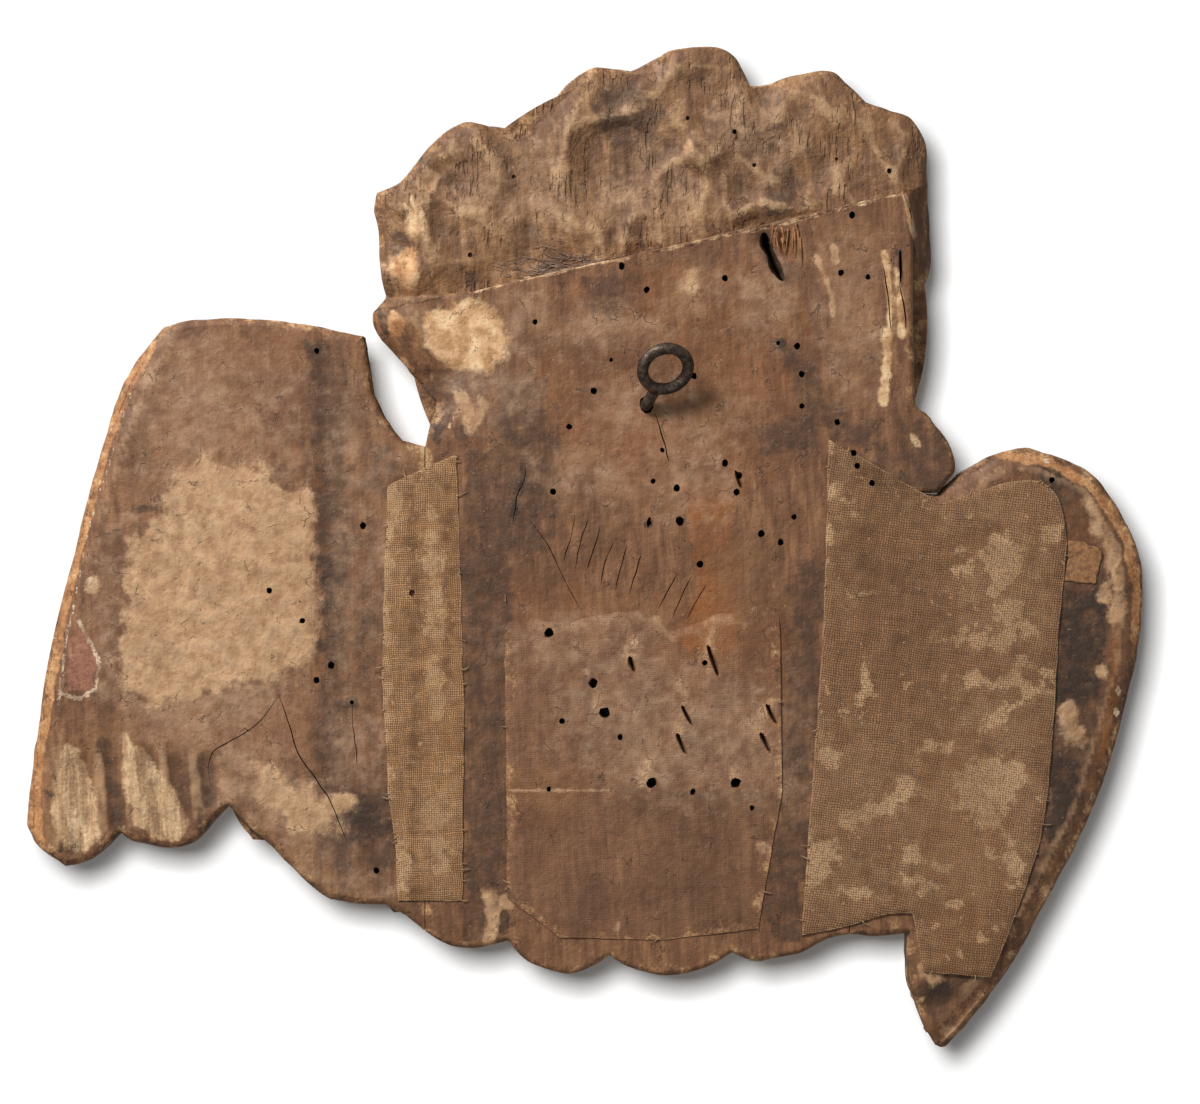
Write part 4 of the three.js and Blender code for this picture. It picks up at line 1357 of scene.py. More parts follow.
@dataclass(frozen=True)
class FleshPaint(Finish):
    """Oil paint over gesso, yellowed by varnish, with a fine crackle and small losses."""

    # A soft satin skin; the crackle's islands are about 3 mm wide, wider than real so that it shows.
    name: str = "flesh_oil_paint"

    def shader(self, tree: Tree) -> Node:
        """Flesh, cheeks, lips and brows, then crackle, painted shade with dirt in the hollows, and losses."""
        place = self.millimetres(tree)
        broad = add(tree, "TexNoise", {"Vector": place, "Scale": 0.05, "Detail": 4.0})
        mottle = add(tree, "TexNoise", {"Vector": place, "Scale": 0.3, "Detail": 5.0, "Roughness": 0.6})
        bent = add(tree, "VectorMath", {0: mottle.outputs["Color"], 1: (2.5, 2.5, 2.5), 2: place},
            operation="MULTIPLY_ADD")
        cracks = add(tree, "TexVoronoi", {"Vector": bent, "Scale": 0.3}, feature="DISTANCE_TO_EDGE")
        colour = add(tree, "ValToRGB", {0: broad.outputs[0]},
            ramp=[(0.35, "#c08f68"), (0.5, "#d3a880"), (0.65, "#e0bb95")])
        for name, above, most in (
            ("blush", "#b8654a", 0.55), ("lips", "#9c4638", 0.8), ("brow", "#6b4a33", 0.75),
            ("white", "#d6c3a6", 0.9), ("iris", "#24160d", 1.0), ("lash", "#38251a", 0.95),
        ):
            share = add(tree, "Math", {0: add(tree, "Attribute", attribute_name=name).outputs["Fac"],
                1: most}, operation="MULTIPLY")
            colour = self.over(tree, colour, above, share)
        crest = add(tree, "Attribute", attribute_name="crest").outputs["Fac"]
        # Darker where the carving lies low, as in the eye sockets: painted shade, with dirt.
        low = add(tree, "Math", {0: mottle.outputs[0], 1: -0.6, 2: crest}, operation="MULTIPLY_ADD")
        hollow_shade_and_grime = add(tree, "MapRange", {"Value": low, "From Min": -0.02, "From Max": -0.36, "To Min": 0.05,
            "To Max": 0.6})
        colour = self.over(tree, colour, "#6b472c", hollow_shade_and_grime)
        colour, lines = self.stained(tree, colour, "#4a3020", cracks.outputs["Distance"], 0.05, 0.0, 0.4)
        colour, lost = self.stained(tree, colour, "#d8c8ab", mottle.outputs[0], 0.69, 0.7)
        relief = self.summed(tree, (lines, -0.12), (mottle.outputs[0], 0.15), (lost, -0.2))
        bump = add(tree, "Bump", {"Height": relief, "Distance": MM, "Strength": 1.0})
        return add(tree, "BsdfPrincipled", {"Base Color": colour, "Roughness": 0.48, "Normal": bump,
            "Coat Weight": 0.15, "Coat Roughness": 0.35})


@dataclass(frozen=True)
class SizedLinen(Finish):
    """Plain-woven linen stiff with glue size: hard, matt, its threads proud, chalky size in its hollows."""

    name: str = "linen_sized"
    pitch: float = 0.8  # millimetres from thread to thread
    light: str = "#96704f"
    middle: str = "#7b583d"
    dark: str = "#573d29"
    depth: float = 0.15  # how proud the threads stand, in millimetres
    frayed: float = 0.35  # how much of the edge shows bare flax

    def shader(self, tree: Tree) -> Node:
        """Threads with painted weave shade first, then soil, washes and the chalky size that the threads' tops hold.
        """
        p = self.patterns(tree)
        height, thread = self.woven(tree, self.pitch)
        # Each thread's own tone, with painted shade where the weave dips and a painted highlight where a thread
        # passes over.
        thread_tone_and_weave_shade = self.summed(tree, (thread, 0.6), (height, 0.42))
        colour = add(tree, "ValToRGB", {0: thread_tone_and_weave_shade}, ramp=[(0.32, self.dark), (0.54, self.middle),
            (0.74, self.light)])
        colour, _ = self.stained(tree, colour, "#5b4029", p.medium[0], 0.46, 0.7, 0.4)
        colour, _ = self.stained(tree, colour, "#5f432b", p.stain.outputs[0], 0.44, 0.62, 0.35)
        for name, above, most in (("warm", "#8a5f3d", 0.4), ("mauve", "#94704f", 0.5),
                ("dark", "#453020", 0.5), ("black", "#2b211b", 0.8)):
            colour = self.over(tree, colour, above, self.patchy(tree,
                self.covered(tree, name, p.uneven[1], 12.0, 1.5), p.medium[0], most))
        grip = self.summed(tree, (height, 0.35), (p.crumb[0], 1.2))
        held = add(tree, "MapRange", {"Value": grip, "From Min": 0.62, "From Max": 0.86, "To Min": 0.2,
            "To Max": 1.0})
        for name, ragged, soft, most in (("smear", 20.0, 2.5, 0.3), ("pale", 14.0, 0.6, 0.9)):
            size = self.patchy(tree, self.covered(tree, name, p.uneven[2], ragged, soft), p.broad[1], most,
                0.5)
            colour = self.over(tree, colour, "#b99670", add(tree, "Math", {0: size, 1: held},
                operation="MULTIPLY"))
        stray = add(tree, "MapRange", {"Value": p.uneven[1], "From Min": 0.61, "From Max": 0.64,
            "To Max": 0.7})
        colour = self.over(tree, colour, "#b8946d", add(tree, "Math", {0: stray, 1: held},
            operation="MULTIPLY"))
        colour, _ = self.stained(tree, colour, "#c6a986", p.crumb[1], 0.66, 0.72, 0.6)
        edge = add(tree, "Attribute", attribute_name="edge").outputs["Fac"]
        rim = add(tree, "Math", {0: p.crumb[2], 1: 1.4, 2: edge}, operation="MULTIPLY_ADD")
        colour, _ = self.stained(tree, colour, "#bb9c78", rim, 1.1, 0.8, self.frayed)
        # Painted shade: the insides of the holes near black.
        colour = self.over(tree, colour, "#120b07", add(tree, "Attribute",
            attribute_name="hollow").outputs["Fac"])
        relief = self.summed(tree, (p.medium[0], 0.4), (height, self.depth), (p.crumb[0], 0.1))
        bump = add(tree, "Bump", {"Height": relief, "Distance": MM, "Strength": 1.0})
        return add(tree, "BsdfPrincipled", {"Base Color": colour, "Roughness": 0.88, "Normal": bump,
            "Specular IOR Level": 0.25})


@dataclass(frozen=True)
class HandledIron(Finish):
    """Wrought iron, black with old scale, browned by rust and polished a little by handling."""

    name: str = "wrought_iron_handled"

    def shader(self, tree: Tree) -> Node:
        """Scale with brown rust in its pits."""
        place = self.millimetres(tree)
        scale = add(tree, "TexNoise", {"Vector": place, "Scale": 0.5, "Detail": 5.0, "Roughness": 0.65})
        pits = add(tree, "TexNoise", {"Vector": place, "Scale": 2.2, "Detail": 3.0})
        colour = add(tree, "ValToRGB", {0: scale.outputs[0]},
            ramp=[(0.35, "#2a2421"), (0.5, "#4a4039"), (0.62, "#6d5b4c")])
        colour, rust = self.stained(tree, colour, "#5c3a25", pits.outputs[0], 0.55, 0.66, 0.7)
        metal = add(tree, "MapRange", {"Value": rust, "To Min": 0.75, "To Max": 0.1})
        gloss = add(tree, "MapRange", {"Value": scale.outputs[0], "From Min": 0.35, "From Max": 0.65,
            "To Min": 0.62, "To Max": 0.4})
        bump = add(tree, "Bump", {"Height": add(tree, "Math",
            {0: scale.outputs[0], 1: 0.5, 2: pits.outputs[0]}, operation="MULTIPLY_ADD"),
            "Distance": 0.25 * MM, "Strength": 1.0})
        return add(tree, "BsdfPrincipled", {"Base Color": colour, "Metallic": metal, "Roughness": gloss,
            "Normal": bump})


@dataclass(frozen=True)
class PaleStage(Finish):
    """White card, seen from its front alone, so that it never stands before the object."""

    name: str = "stage_white_card"

    def shader(self, tree: Tree) -> Node:
        """A matt white that glows a little, clear from behind."""
        card = add(tree, "BsdfPrincipled", {"Base Color": linear("#a9a9a9"), "Roughness": 1.0,
            "Emission Color": linear("#ffffff"), "Emission Strength": 0.03})
        behind = add(tree, "NewGeometry").outputs["Backfacing"]
        return add(tree, "MixShader", {0: behind, 1: card, 2: add(tree, "BsdfTransparent")})


WOOD = AgedLimewood()
GILDING = WornGilding()
FLESH = FleshPaint()
IRON = HandledIron()


# Holes, cracks and cuts, as the photograph shows them

WORMHOLES = (
    (647, 290), (535, 322), (594, 391), (569, 427), (553, 492), (677, 488), (725, 463), (739, 475),
    (737, 492), (794, 517),
    (802, 374), (802, 406), (797, 346), (725, 278), (622, 266), (841, 273), (868, 277), (854, 453),
    (857, 466), (872, 483),
    (837, 422), (694, 376), (470, 252), (511, 178), (733, 131), (755, 166), (889, 171), (835, 159),
    (852, 215), (761, 534),
    (781, 542), (700, 564), (549, 632), (593, 683), (605, 713), (620, 737), (562, 721), (705, 663),
    (652, 783), (736, 783),
    (693, 792), (752, 808), (549, 789), (269, 590), (302, 621), (331, 665), (317, 680), (376, 871),
    (363, 526), (317, 351),
    (690, 116), (412, 593),
)
BLOCK_WORMHOLES = WORMHOLES[:43] + WORMHOLES[50:51]
LEFT_WORMHOLES = WORMHOLES[43:50]
RIGHT_WORMHOLES = ((1052, 480), (1084, 560))
SCREW_HOLE = (646.4, 404.8)
NAIL_HOLES = ((778, 343), (680, 520), (649, 523), (611, 360), (653, 481), (662, 450), (352, 702))
SLOTS = (
    ((630, 656), (634, 672)), ((708, 645), (718, 676)), ((682, 705), (692, 725)), ((677, 733), (686, 754)),
    ((766, 704), (776, 724)), ((761, 732), (770, 752)), ((736, 470), (741, 488)), ((650, 517), (648, 527)),
)
PATCH_SLOTS = SLOTS[:6]
LARGE_HOLES = ((593, 683), (605, 713), (652, 783), (736, 783), (680, 521), (549, 633))
CRACKS = (
    (((655, 414), (661, 433), (666, 448), (669, 462)), 0.5, 4),
    (((525, 467), (524, 480), (517, 495), (515, 508), (513, 521)), 0.45, 3),
    (((530, 520), (548, 545), (562, 575), (580, 610)), 0.4, 1.2),
    (((279, 695), (289, 725), (299, 755), (315, 778), (330, 801), (339, 822), (347, 842)), 0.55, 4),
    (((279, 695), (262, 719), (245, 733), (226, 743), (211, 755), (208, 772), (211, 791)), 0.45, 3),
    (((352, 702), (353, 730), (356, 750), (357, 770)), 0.4, 3),
    (((900, 250), (901, 266), (900, 283)), 1.0, 5),
    (((883, 262), (886, 285), (889, 305), (891, 330)), 0.6, 3),
    (((899, 285), (904, 305), (906, 330)), 0.6, 3),
    (((905, 190), (911, 212), (914, 236)), 0.7, 3),
    (((777, 89), (790, 110), (804, 132), (818, 158)), 0.5, 1.5),
    (((824, 130), (840, 150), (852, 170), (866, 196)), 0.5, 1.5),
    (((544, 152), (548, 170), (556, 202)), 0.6, 1.5),
    (((599, 164), (604, 190), (610, 215), (614, 240)), 0.6, 1.8),
    (((448, 196), (444, 220), (438, 250), (435, 279)), 0.6, 2),
)
BLOCK_CRACKS = CRACKS[:3] + CRACKS[6:]
LEFT_CRACKS = CRACKS[3:6]
GROOVE = ((764, 232), (768, 246), (774, 262), (783, 281))
INSCRIPTION = ((563, 517, 600, 570), (600, 545, 642, 592), (660, 575, 704, 618))  # the box of each row


def strokes(seed: int = 71) -> list[Object]:
    """Three rows of three shallow knife strokes, side by side, each row on a slant of its own."""
    chance = np.random.default_rng(seed)
    made = []
    for left, top, right, bottom in INSCRIPTION:
        lean = chance.uniform(5, 10)
        for n in range(3):
            x, y = left + (right - left) * (n + 0.5) / 3, (top + bottom) / 2 + 5 * (n - 1)
            tall = (bottom - top) * chance.uniform(0.38, 0.5)
            line = ((x + lean, y - tall), (x + chance.uniform(-2, 2), y), (x - lean, y + tall))
            made.append(cleft(f"stroke_{n}", line, 0.55, 1.2, 0.8))
    return made


# The front's carved forms


@dataclass(frozen=True)
class Head:
    """The face: an oval of ordinary child's proportions, turned and placed as the outline asks."""

    at: tuple[float, float, float] = (-3.0, -34.0, -18.0)
    nod: float = 5.0  # degrees about X
    turn: float = 11.0  # degrees about Z
    lean: float = 7.0  # degrees about Y
    half: float = 72.0  # half width
    above: float = 86.0  # from the eyes' level up to the crown
    below: float = 80.0  # and down to the chin
    depth: float = 76.0
    count: int = 150  # points along each side of its grid

    def placed(self, across: Array, forward: Array, up: Array) -> Array:
        """Points of the head's own frame in the part's: nod, turn and lean about X, Z and Y, then the shift.

        Args:
            across: towards the head's own left.
            forward: out of the face.
            up: towards the crown.

        Returns:
            Points, (..., 3).
        """
        point = np.stack([across, -forward, up])
        for axis, angle in ((0, self.nod), (2, self.turn), (1, self.lean)):
            i, j = (axis + 1) % 3, (axis + 2) % 3
            cos, sin = math.cos(math.radians(angle)), math.sin(math.radians(angle))
            point[i], point[j] = point[i] * cos - point[j] * sin, point[i] * sin + point[j] * cos
        return np.moveaxis(point, 0, -1) + np.array(self.at)

    def relief(self, u: Array, v: Array) -> Array:
        """How far the carving stands above the oval: a sum of soft swellings, in half widths of the face.

        Args:
            u: places across the face, in half widths.
            v: places up it, the same.

        Returns:
            The height in millimetres.
        """
        m = np.abs(u)

        def swell(at: Array, a: float, b: float, w: float, t: float) -> Array:
            """One swelling: e to the minus squared distance from (a, b), w wide and t high."""
            return np.exp(-(((at - a) / w) ** 2) - ((v - b) / t) ** 2)

        down = np.clip((0.14 - v) / 0.52, 0, 1)
        ridge = (2 + 12 * down**1.4) * smooth(0, 0.25, 0.3 - v) * smooth(-0.52, -0.4, v)
        nose = ridge * np.exp(-((m / (0.09 + 0.07 * down)) ** 2)) + 5 * swell(m, 0.15, -0.41, 0.07, 0.07)
        raised = 3.5 * swell(m, 0.36, 0.25, 0.26, 0.1) - 10 * swell(m, 0.4, 0.02, 0.22, 0.15)
        raised += 9.5 * swell(m, 0.41, -0.01, 0.13, 0.085) + 7 * swell(m, 0.5, -0.42, 0.26, 0.26) + nose
        raised += 5.5 * swell(u, 0, -0.62, 0.2, 0.06) + 5 * swell(u, 0, -0.75, 0.16, 0.06) - 2.5 * swell(m,
            0.27, -0.66, 0.06, 0.07)
        raised += 8 * swell(u, 0, -0.98, 0.2, 0.13) - 3 * swell(u, 0, -0.685, 0.2, 0.025)
        raised -= 1.2 * swell(u, 0, -0.52, 0.035, 0.05)
        raised -= 2.4 * swell(m, 0.1, -0.475, 0.035, 0.022) + 1.2 * swell(m, 0.235, -0.42, 0.025, 0.07)
        opening = self.opening(u, v)
        raised += 1.1 * np.exp(-((opening / 0.02) ** 2)) - 0.9 * smooth(0.0, 0.022, opening)
        return raised - 1.1 * np.exp(-(((v - 0.115 + 1.1 * (m - 0.4) ** 2) / 0.018) ** 2)) * smooth(0.26,
            0.16, np.abs(m - 0.41))

    def opening(self, u: Array, v: Array) -> Array:
        """How deep a place lies inside the almond of the open eye, between two parabolas."""
        side = ((np.abs(u) - 0.41) / 0.155) ** 2
        return np.minimum(0.05 - 0.075 * side - v, v + 0.06 - 0.055 * side)

    def build(self) -> Object:
        """A disc of squares bent over the oval, as a relief above the hair's middle plane."""
        p, q = np.meshgrid(np.linspace(-1, 1, self.count), np.linspace(-1, 1, self.count), indexing="xy")
        x, z = p * np.sqrt(1 - q * q / 2), q * np.sqrt(1 - p * p / 2)
        reach = np.minimum(1, np.hypot(x, z))
        open_ = reach * (0.64 + 0.36 * reach**2) * math.pi / 2
        spread = np.where(reach > 0, np.sin(open_) / np.maximum(reach, 1e-9), math.pi / 2)
        v = z * spread
        across = self.half * x * spread * np.where(v < 0, 1 - 0.2 * v * v, 1)
        up = v * np.where(v > 0, self.above, self.below)
        a, b = across / self.half, up / self.half
        m, edge = np.abs(a), np.maximum(np.cos(open_), 0)
        raised = self.relief(a, b) * edge**0.3
        front = self.placed(across, self.depth * edge**0.6 + raised, up)
        behind = front.copy()
        behind[..., 1] = self.at[1] + 10
        opening = self.opening(a, b)
        iris = np.hypot((m - 0.41) / 0.055, (b + 0.005) / 0.055)
        hair = smooth(1.0, 1.05, np.hypot(a / 0.84, (b - 0.02) / 0.66)) * smooth(0.22, 0.28, b)
        values = {
            "flesh": 1 - hair,
            "gilded": hair,
            "crest": (1 - hair) * smooth(-4, 9, raised) + hair * np.abs(np.sin(22 * np.arctan2(b, a))),
            "blush": np.exp(-(((m - 0.5) / 0.2) ** 2) - ((b + 0.4) / 0.17) ** 2),
            "lips": smooth(1.15, 0.75, np.hypot(a / 0.2, (b + 0.685) / (0.11 - 0.35 * a * a))),
            "brow": smooth(0.035, 0.018, np.abs(b - 0.235 + 0.9 * (m - 0.36) ** 2)) * smooth(0.26, 0.2,
            np.abs(m - 0.4)),
            "white": smooth(0.0, 0.02, opening),
            "iris": smooth(1.05, 0.9, iris) * smooth(0.0, 0.02, opening),
            "lash": np.exp(-((opening / 0.018) ** 2)) * smooth(-0.02, 0.01, b),
        }
        return slab("face", front, behind, values)


@dataclass(frozen=True)
class Curl:
    """A snail curl: its middle, its size, the way it winds (1 or -1) and the angle where it starts."""

    x: float
    z: float
    radius: float
    way: int
    start: float

    def build(self, depth: Callable[[Array, Array], Array]) -> Object:
        """A lock along a spiral of one and a quarter turns that climbs out of the hair towards its middle.

        Args:
            depth: gives y of the hair at x and z.

        Returns:
            The curl as a closed mesh.
        """
        at = np.array([self.x, self.z])
        slope = np.array([(depth(*(at + s)) - depth(*(at - s))) / 4 for s in np.eye(2) * 2])
        slope /= max(1.0, np.hypot(*slope))
        out = np.array([slope[0], -1, slope[1]]) / math.sqrt(1 + slope @ slope)
        side = np.array([1, 0, 0]) - out * out[0]
        side /= np.linalg.norm(side)
        up = -np.cross(side, out)
        t = np.linspace(0, 1, 36)[:, None]
        angle = self.start + self.way * 2.5 * math.pi * t
        reach = self.radius * (0.66 - 0.56 * t)
        middle = np.array([self.x, depth(self.x, self.z), self.z])
        path = middle + side * reach * np.cos(angle) + up * reach * np.sin(angle) + out * (2 + 5 * t)
        return lock("curl", path, self.radius * (0.34 - 0.11 * t[:, 0]),
            self.radius * (0.33 - 0.09 * t[:, 0]), out)


RIM_CURLS = (
    (73, 11, 23, -1), (74, 42, 27, 1), (49, 62, 26, -1), (18, 82, 26, 1), (-15, 84, 26, -1), (-49, 77, 27, 1),
    (-70, 52, 27, -1), (-66, 14, 23, 1), (-78, -22, 20, -1),
)
COLLAR = (Feather((46, -78), (66, -191), 34), Feather((20, -84), (33, -200.5), 36),
    Feather((-6, -86), (-2, -201), 42),
          Feather((-34, -80), (-40, -195), 38))
LEFT_FLIGHT = (
    Feather((103, -28), (88, -181), 31, 2), Feather((113, -14), (110, -176), 32, 3),
    Feather((126, -4), (135, -157), 33, 3),
    Feather((141, 4), (165, -158.5), 35, 4), Feather((158, 10), (199, -164.5), 34, 6),
)
RIGHT_FLIGHT = (
    Feather((-82, -62), (-66, -188), 32, -3), Feather((-98, -52), (-78, -188), 33, -6),
    Feather((-116, -46), (-86, -211), 34, -12),
    Feather((-134, -46), (-90, -222), 31, -12),
)
LEFT_ARM = ((90, -52), (100, -26), (109, -7), (126, 4), (158, 6), (179, -15), (191, -54))
RIGHT_ARM = ((-70, -66), (-89, -58), (-106, -44), (-124, -38), (-142, -50), (-149, -82))
FOREVER = 400.0
IN_FRONT, BEHIND = -130.0, 40.0  # y in front of the nose, and behind the ring
TOP_LEFT, TOP_RIGHT = -25.5, -41.0  # z where the joints end at the top
HAIR_RIM = HairRim("hair_rim", HAIR_OUTLINE, BACK - CHISELLED, BACK - CHISELLED - HAIR_DEPTH, 3.0, 1.25,
    0.45, seed=5)


@dataclass
class HeadBlock:
    """The block with the head, its hair, the board behind it and the feathers under the chin."""

    node: str = "head_block"
    crown_middle: float = 14.0
    crown_radius: float = 92.0
    crown_rise: float = 50.0
    bed: float = 4.0
    head: Head = field(default_factory=Head)
    rim: HairRim = field(default_factory=lambda: HAIR_RIM)
    main: MainBlock = field(default_factory=lambda: MainBlock(
        "head_block_wood", BLOCK_OUTLINE, BACK, BACK - BLOCK_DEPTH, 1.6, 1.25, 0.3,
        (JOINT_LEFT, JOINT_RIGHT), 6))

    def crown_depth(self, x: Array, z: Array) -> Array:
        """y of the front of the hair's mass: a dome over a circle."""
        r = np.minimum(1, np.hypot(x, z - self.crown_middle) / self.crown_radius)
        return BACK - HAIR_DEPTH - self.crown_rise * np.sqrt(1 - r * r) ** 1.1

    def brow_depth(self, x: Array, z: Array) -> Array:
        """y, 4 mm below whichever is in front at a place: the hair's mass or the forehead's oval.

        Args:
            x: places.
            z: places.

        Returns:
            y at each.
        """
        head = self.head
        # Its foremost point is at x 8.6, z -23.3, and it slopes by the tangents of the turn and the nod.
        r2 = np.minimum(1, ((x - 8.6) / head.half) ** 2 + ((z + 23.3) / head.above) ** 2)
        forehead = head.at[1] - head.depth * (1 - r2) ** 0.3 + 0.19 * (x - head.at[0]) - 0.087 * (z
            - head.at[2])
        return np.minimum(self.crown_depth(x, z), forehead) + 4

    def crown(self) -> Object:
        """The mass of the hair, combed back from the brow in fine waves."""
        p, q = np.meshgrid(np.linspace(-1, 1, 96), np.linspace(-1, 1, 96))
        x, z = 87 * p * np.sqrt(1 - q * q / 2) - 1, 84 * q * np.sqrt(1 - p * p / 2) + 16
        angle, r = np.arctan2(z + 20, x), np.hypot(x, z + 20)
        wave = np.abs(np.sin(26 * angle + 0.9 * np.sin(r / 13)))
        front = np.stack([x, self.crown_depth(x, z) + self.bed - 1.1 * wave * smooth(90, 60,
            np.hypot(x, z - 14)), z], -1)
        behind = np.stack([x, np.full(x.shape, BACK - 8), z], -1)
        return slab("crown", front, behind, {"gilded": np.ones(x.shape), "crest": wave})

    def curls(self) -> list[Object]:
        """A row round the outline and a second round the brow."""
        rows = [Curl(x, z, r, way, math.atan2(self.crown_middle - z, -x) + way * 0.6)
            for x, z, r, way in RIM_CURLS]
        for n, angle in enumerate(np.radians(np.linspace(4, 176, 6))):
            rows.append(Curl(-1 + 58 * math.cos(angle), -6 + 58 * math.sin(angle), 24, 1 if n < 3 else -1,
                angle))
        fringe = []
        for n, angle in enumerate(np.radians(np.linspace(18, 162, 7))):
            fringe.append(Curl(6 + 55 * math.cos(angle), -14 + 56 * math.sin(angle), 17, 1 if n < 4 else -1,
                angle))
        made = [curl.build(self.crown_depth) for curl in rows]
        return made + [curl.build(self.brow_depth) for curl in fringe]

    def feathers(self) -> list[Object]:
        """The short feathers under the chin, longest first."""
        long = [one.build(BLOCK_DEPTH + 1, 5) for one in COLLAR]
        return long + [a.between(b, 0.5, 0.64).build(BLOCK_DEPTH + 6, 5)
            for a, b in itertools.pairwise(COLLAR)]

    def holes(self) -> list[Object]:
        """Everything that goes into the back."""
        cuts = [
            bores("screw_hole", [SCREW_HOLE], 2.3, BLOCK_DEPTH, 2, 0.0),
            bores("wormholes", BLOCK_WORMHOLES, 1.05, 7, 3),
            bores("nail_holes", NAIL_HOLES[:6], 0.7, 6, 4),
            *(cleft("slot", line, 1.7, 3, 0.75) for line in SLOTS),
            bores("large_holes", LARGE_HOLES, 1.5, 7, 5),
        ]
        cuts += [cleft("crack", line, wide, deep) for line, wide, deep in BLOCK_CRACKS]
        return cuts + [cleft("groove", GROOVE, 5.0, 9)] + strokes()

    def build(self) -> Object:
        """All of it as one closed mesh."""
        body = self.rim.build()
        union(body, [self.main.build(), self.crown(), *self.curls(), self.head.build(), *self.feathers()])
        combine(body, block("left", (JOINT_LEFT - GAP / 2, IN_FRONT, -FOREVER), (FOREVER, BEHIND, TOP_LEFT)),
            "DIFFERENCE")
        combine(body, block("right", (-FOREVER, IN_FRONT, -FOREVER),
            (JOINT_RIGHT + GAP / 2, BEHIND, TOP_RIGHT)), "DIFFERENCE")
        for hole in self.holes():
            combine(body, hole, "DIFFERENCE")
        return body

    def level(self, at: Array) -> Array:
        """y of whichever back is the surface at places."""
        on_block = inside(at, outline(BLOCK_OUTLINE, 4)) > 0
        return np.where(on_block, self.main.surface(at), self.rim.surface(at))

    def dress(self) -> Object:
        """Builds it, marks it and paints it."""
        body = self.build()
        body.name = self.node + "_carving"
        marked(body, BLOCK_MARKS, [outline(HAIR_EDGE, 3), outline(BLOCK_OUTLINE, 3)], self.level)
        painted(body, (WOOD, GILDING, FLESH))
        return ready(body, self.node)


@dataclass
class Wing:
    """One wing: its board, its long feathers with two rows of coverts, and the arm along its top."""

    node: str
    board: Board
    flight: tuple[Feather, ...]
    arm: tuple
    beyond: tuple
    marks: Marks
    holes: Callable[[], list[Object]]

    def feathers(self) -> list[Object]:
        """The long feathers, then each shorter row on top of it."""
        level = WING_DEPTH - 2
        long = [one.build(level, 4) for one in self.flight]
        middle = [a.between(b, 0.5, 0.64).build(level + 5, 4) for a, b in itertools.pairwise(self.flight)]
        return long + middle + [one.between(one, 0, 0.36).build(level + 9, 4) for one in self.flight]

    def bone(self) -> Object:
        """The rounded arm: a lock along the top whose strands are small down feathers."""
        line = spline(np.array(self.arm, float), 60)
        path = np.stack([line[:, 0], np.full(len(line), BACK - WING_DEPTH - 6), line[:, 1]], -1)
        t = np.linspace(0, 1, len(path))
        return lock("arm", path, 8 - 3 * t, 9 - 4 * t, np.array([0, -1, 0]), 5)

    def build(self) -> Object:
        """All of it as one closed mesh, straight along its joint."""
        body = union(self.board.build(), [*self.feathers(), self.bone()])
        combine(body, block("joint", *self.beyond), "DIFFERENCE")
        for hole in self.holes():
            combine(body, hole, "DIFFERENCE")
        return body

    def dress(self) -> Object:
        """Builds it, marks it and paints it."""
        body = self.build()
        body.name = self.node + "_carving"
        marked(body, self.marks, [outline(self.board.runs, 3)], self.board.surface)
        painted(body, (WOOD, GILDING))
        return ready(body, self.node)


def left_wing_holes() -> list[Object]:
    """Wormholes, a nail hole and the forked crack of the spread wing."""
    cuts = [bores("wormholes", LEFT_WORMHOLES, 1.0, 6, 7), bores("nail_hole", NAIL_HOLES[6:], 0.8, 5, 8)]
    return cuts + [cleft("crack", line, wide, deep) for line, wide, deep in LEFT_CRACKS]


def right_wing_holes() -> list[Object]:
    """Two small holes in the folded wing's bare border."""
    return [bores("wormholes", RIGHT_WORMHOLES, 0.9, 5, 9)]


# Linen, iron and what lies loose


@dataclass
class Linen:
    """A glued linen: its cloth, its finish and the size it was cut to."""

    node: str
    cloth: Cloth
    finish: Finish
    rests_on: tuple[str, ...]
    marks: Marks
    lean: float  # the warp's angle from upright, in degrees
    loose_ends: int

    def thread(self, mesh: Mesh) -> None:
        """The UV map "threads": x and z in millimetres, turned by the warp's lean."""
        at = places_of(mesh)[:, [0, 2]]
        cos, sin = math.cos(math.radians(self.lean)), math.sin(math.radians(self.lean))
        threads = at @ np.array([[cos, sin], [-sin, cos]])
        corner = np.zeros(len(mesh.loops), np.int32)
        mesh.loops.foreach_get("vertex_index", corner)
        mesh.uv_layers.new(name="threads").data.foreach_set("uv", threads[corner].astype(np.float32).ravel())

    def dress(self) -> Object:
        body = self.cloth.build()
        combine(body, bores("wormholes", WORMHOLES, 0.95, 6, 3), "DIFFERENCE")
        if self.node == "linen_patch_centre":
            for line in PATCH_SLOTS:
                combine(body, cleft("slot", line, 1.9, 3, 0.75), "DIFFERENCE")
            combine(body, bores("large_holes", LARGE_HOLES, 1.6, 6, 5), "DIFFERENCE")
        body.name = self.node + "_cloth"
        marked(body, self.marks, [outline(self.cloth.runs, 3)], self.cloth.surface)
        self.thread(body.data)
        body.data.materials.clear()
        body.data.materials.append(self.finish.material())
        ready(body, self.node)
        ring = outline(self.cloth.runs, 3)
        wide, tall = (ring.max(0) - ring.min(0)) * MM
        closed = np.vstack([ring, ring[:1]])
        area = abs(np.sum(closed[:-1, 0] * closed[1:, 1] - closed[1:, 0] * closed[:-1, 1])) / 2 * MM**2
        level = self.cloth.back + self.cloth.thick / 2
        threads = Remnants().frayed(self.node + "_threads", self.cloth.runs, level, self.loose_ends)
        list(self.rests_on)
        log.info("%s: flat %.1f by %.1f mm, area %.0f mm2", body.name, wide / MM, tall / MM, area / MM**2)
        return body


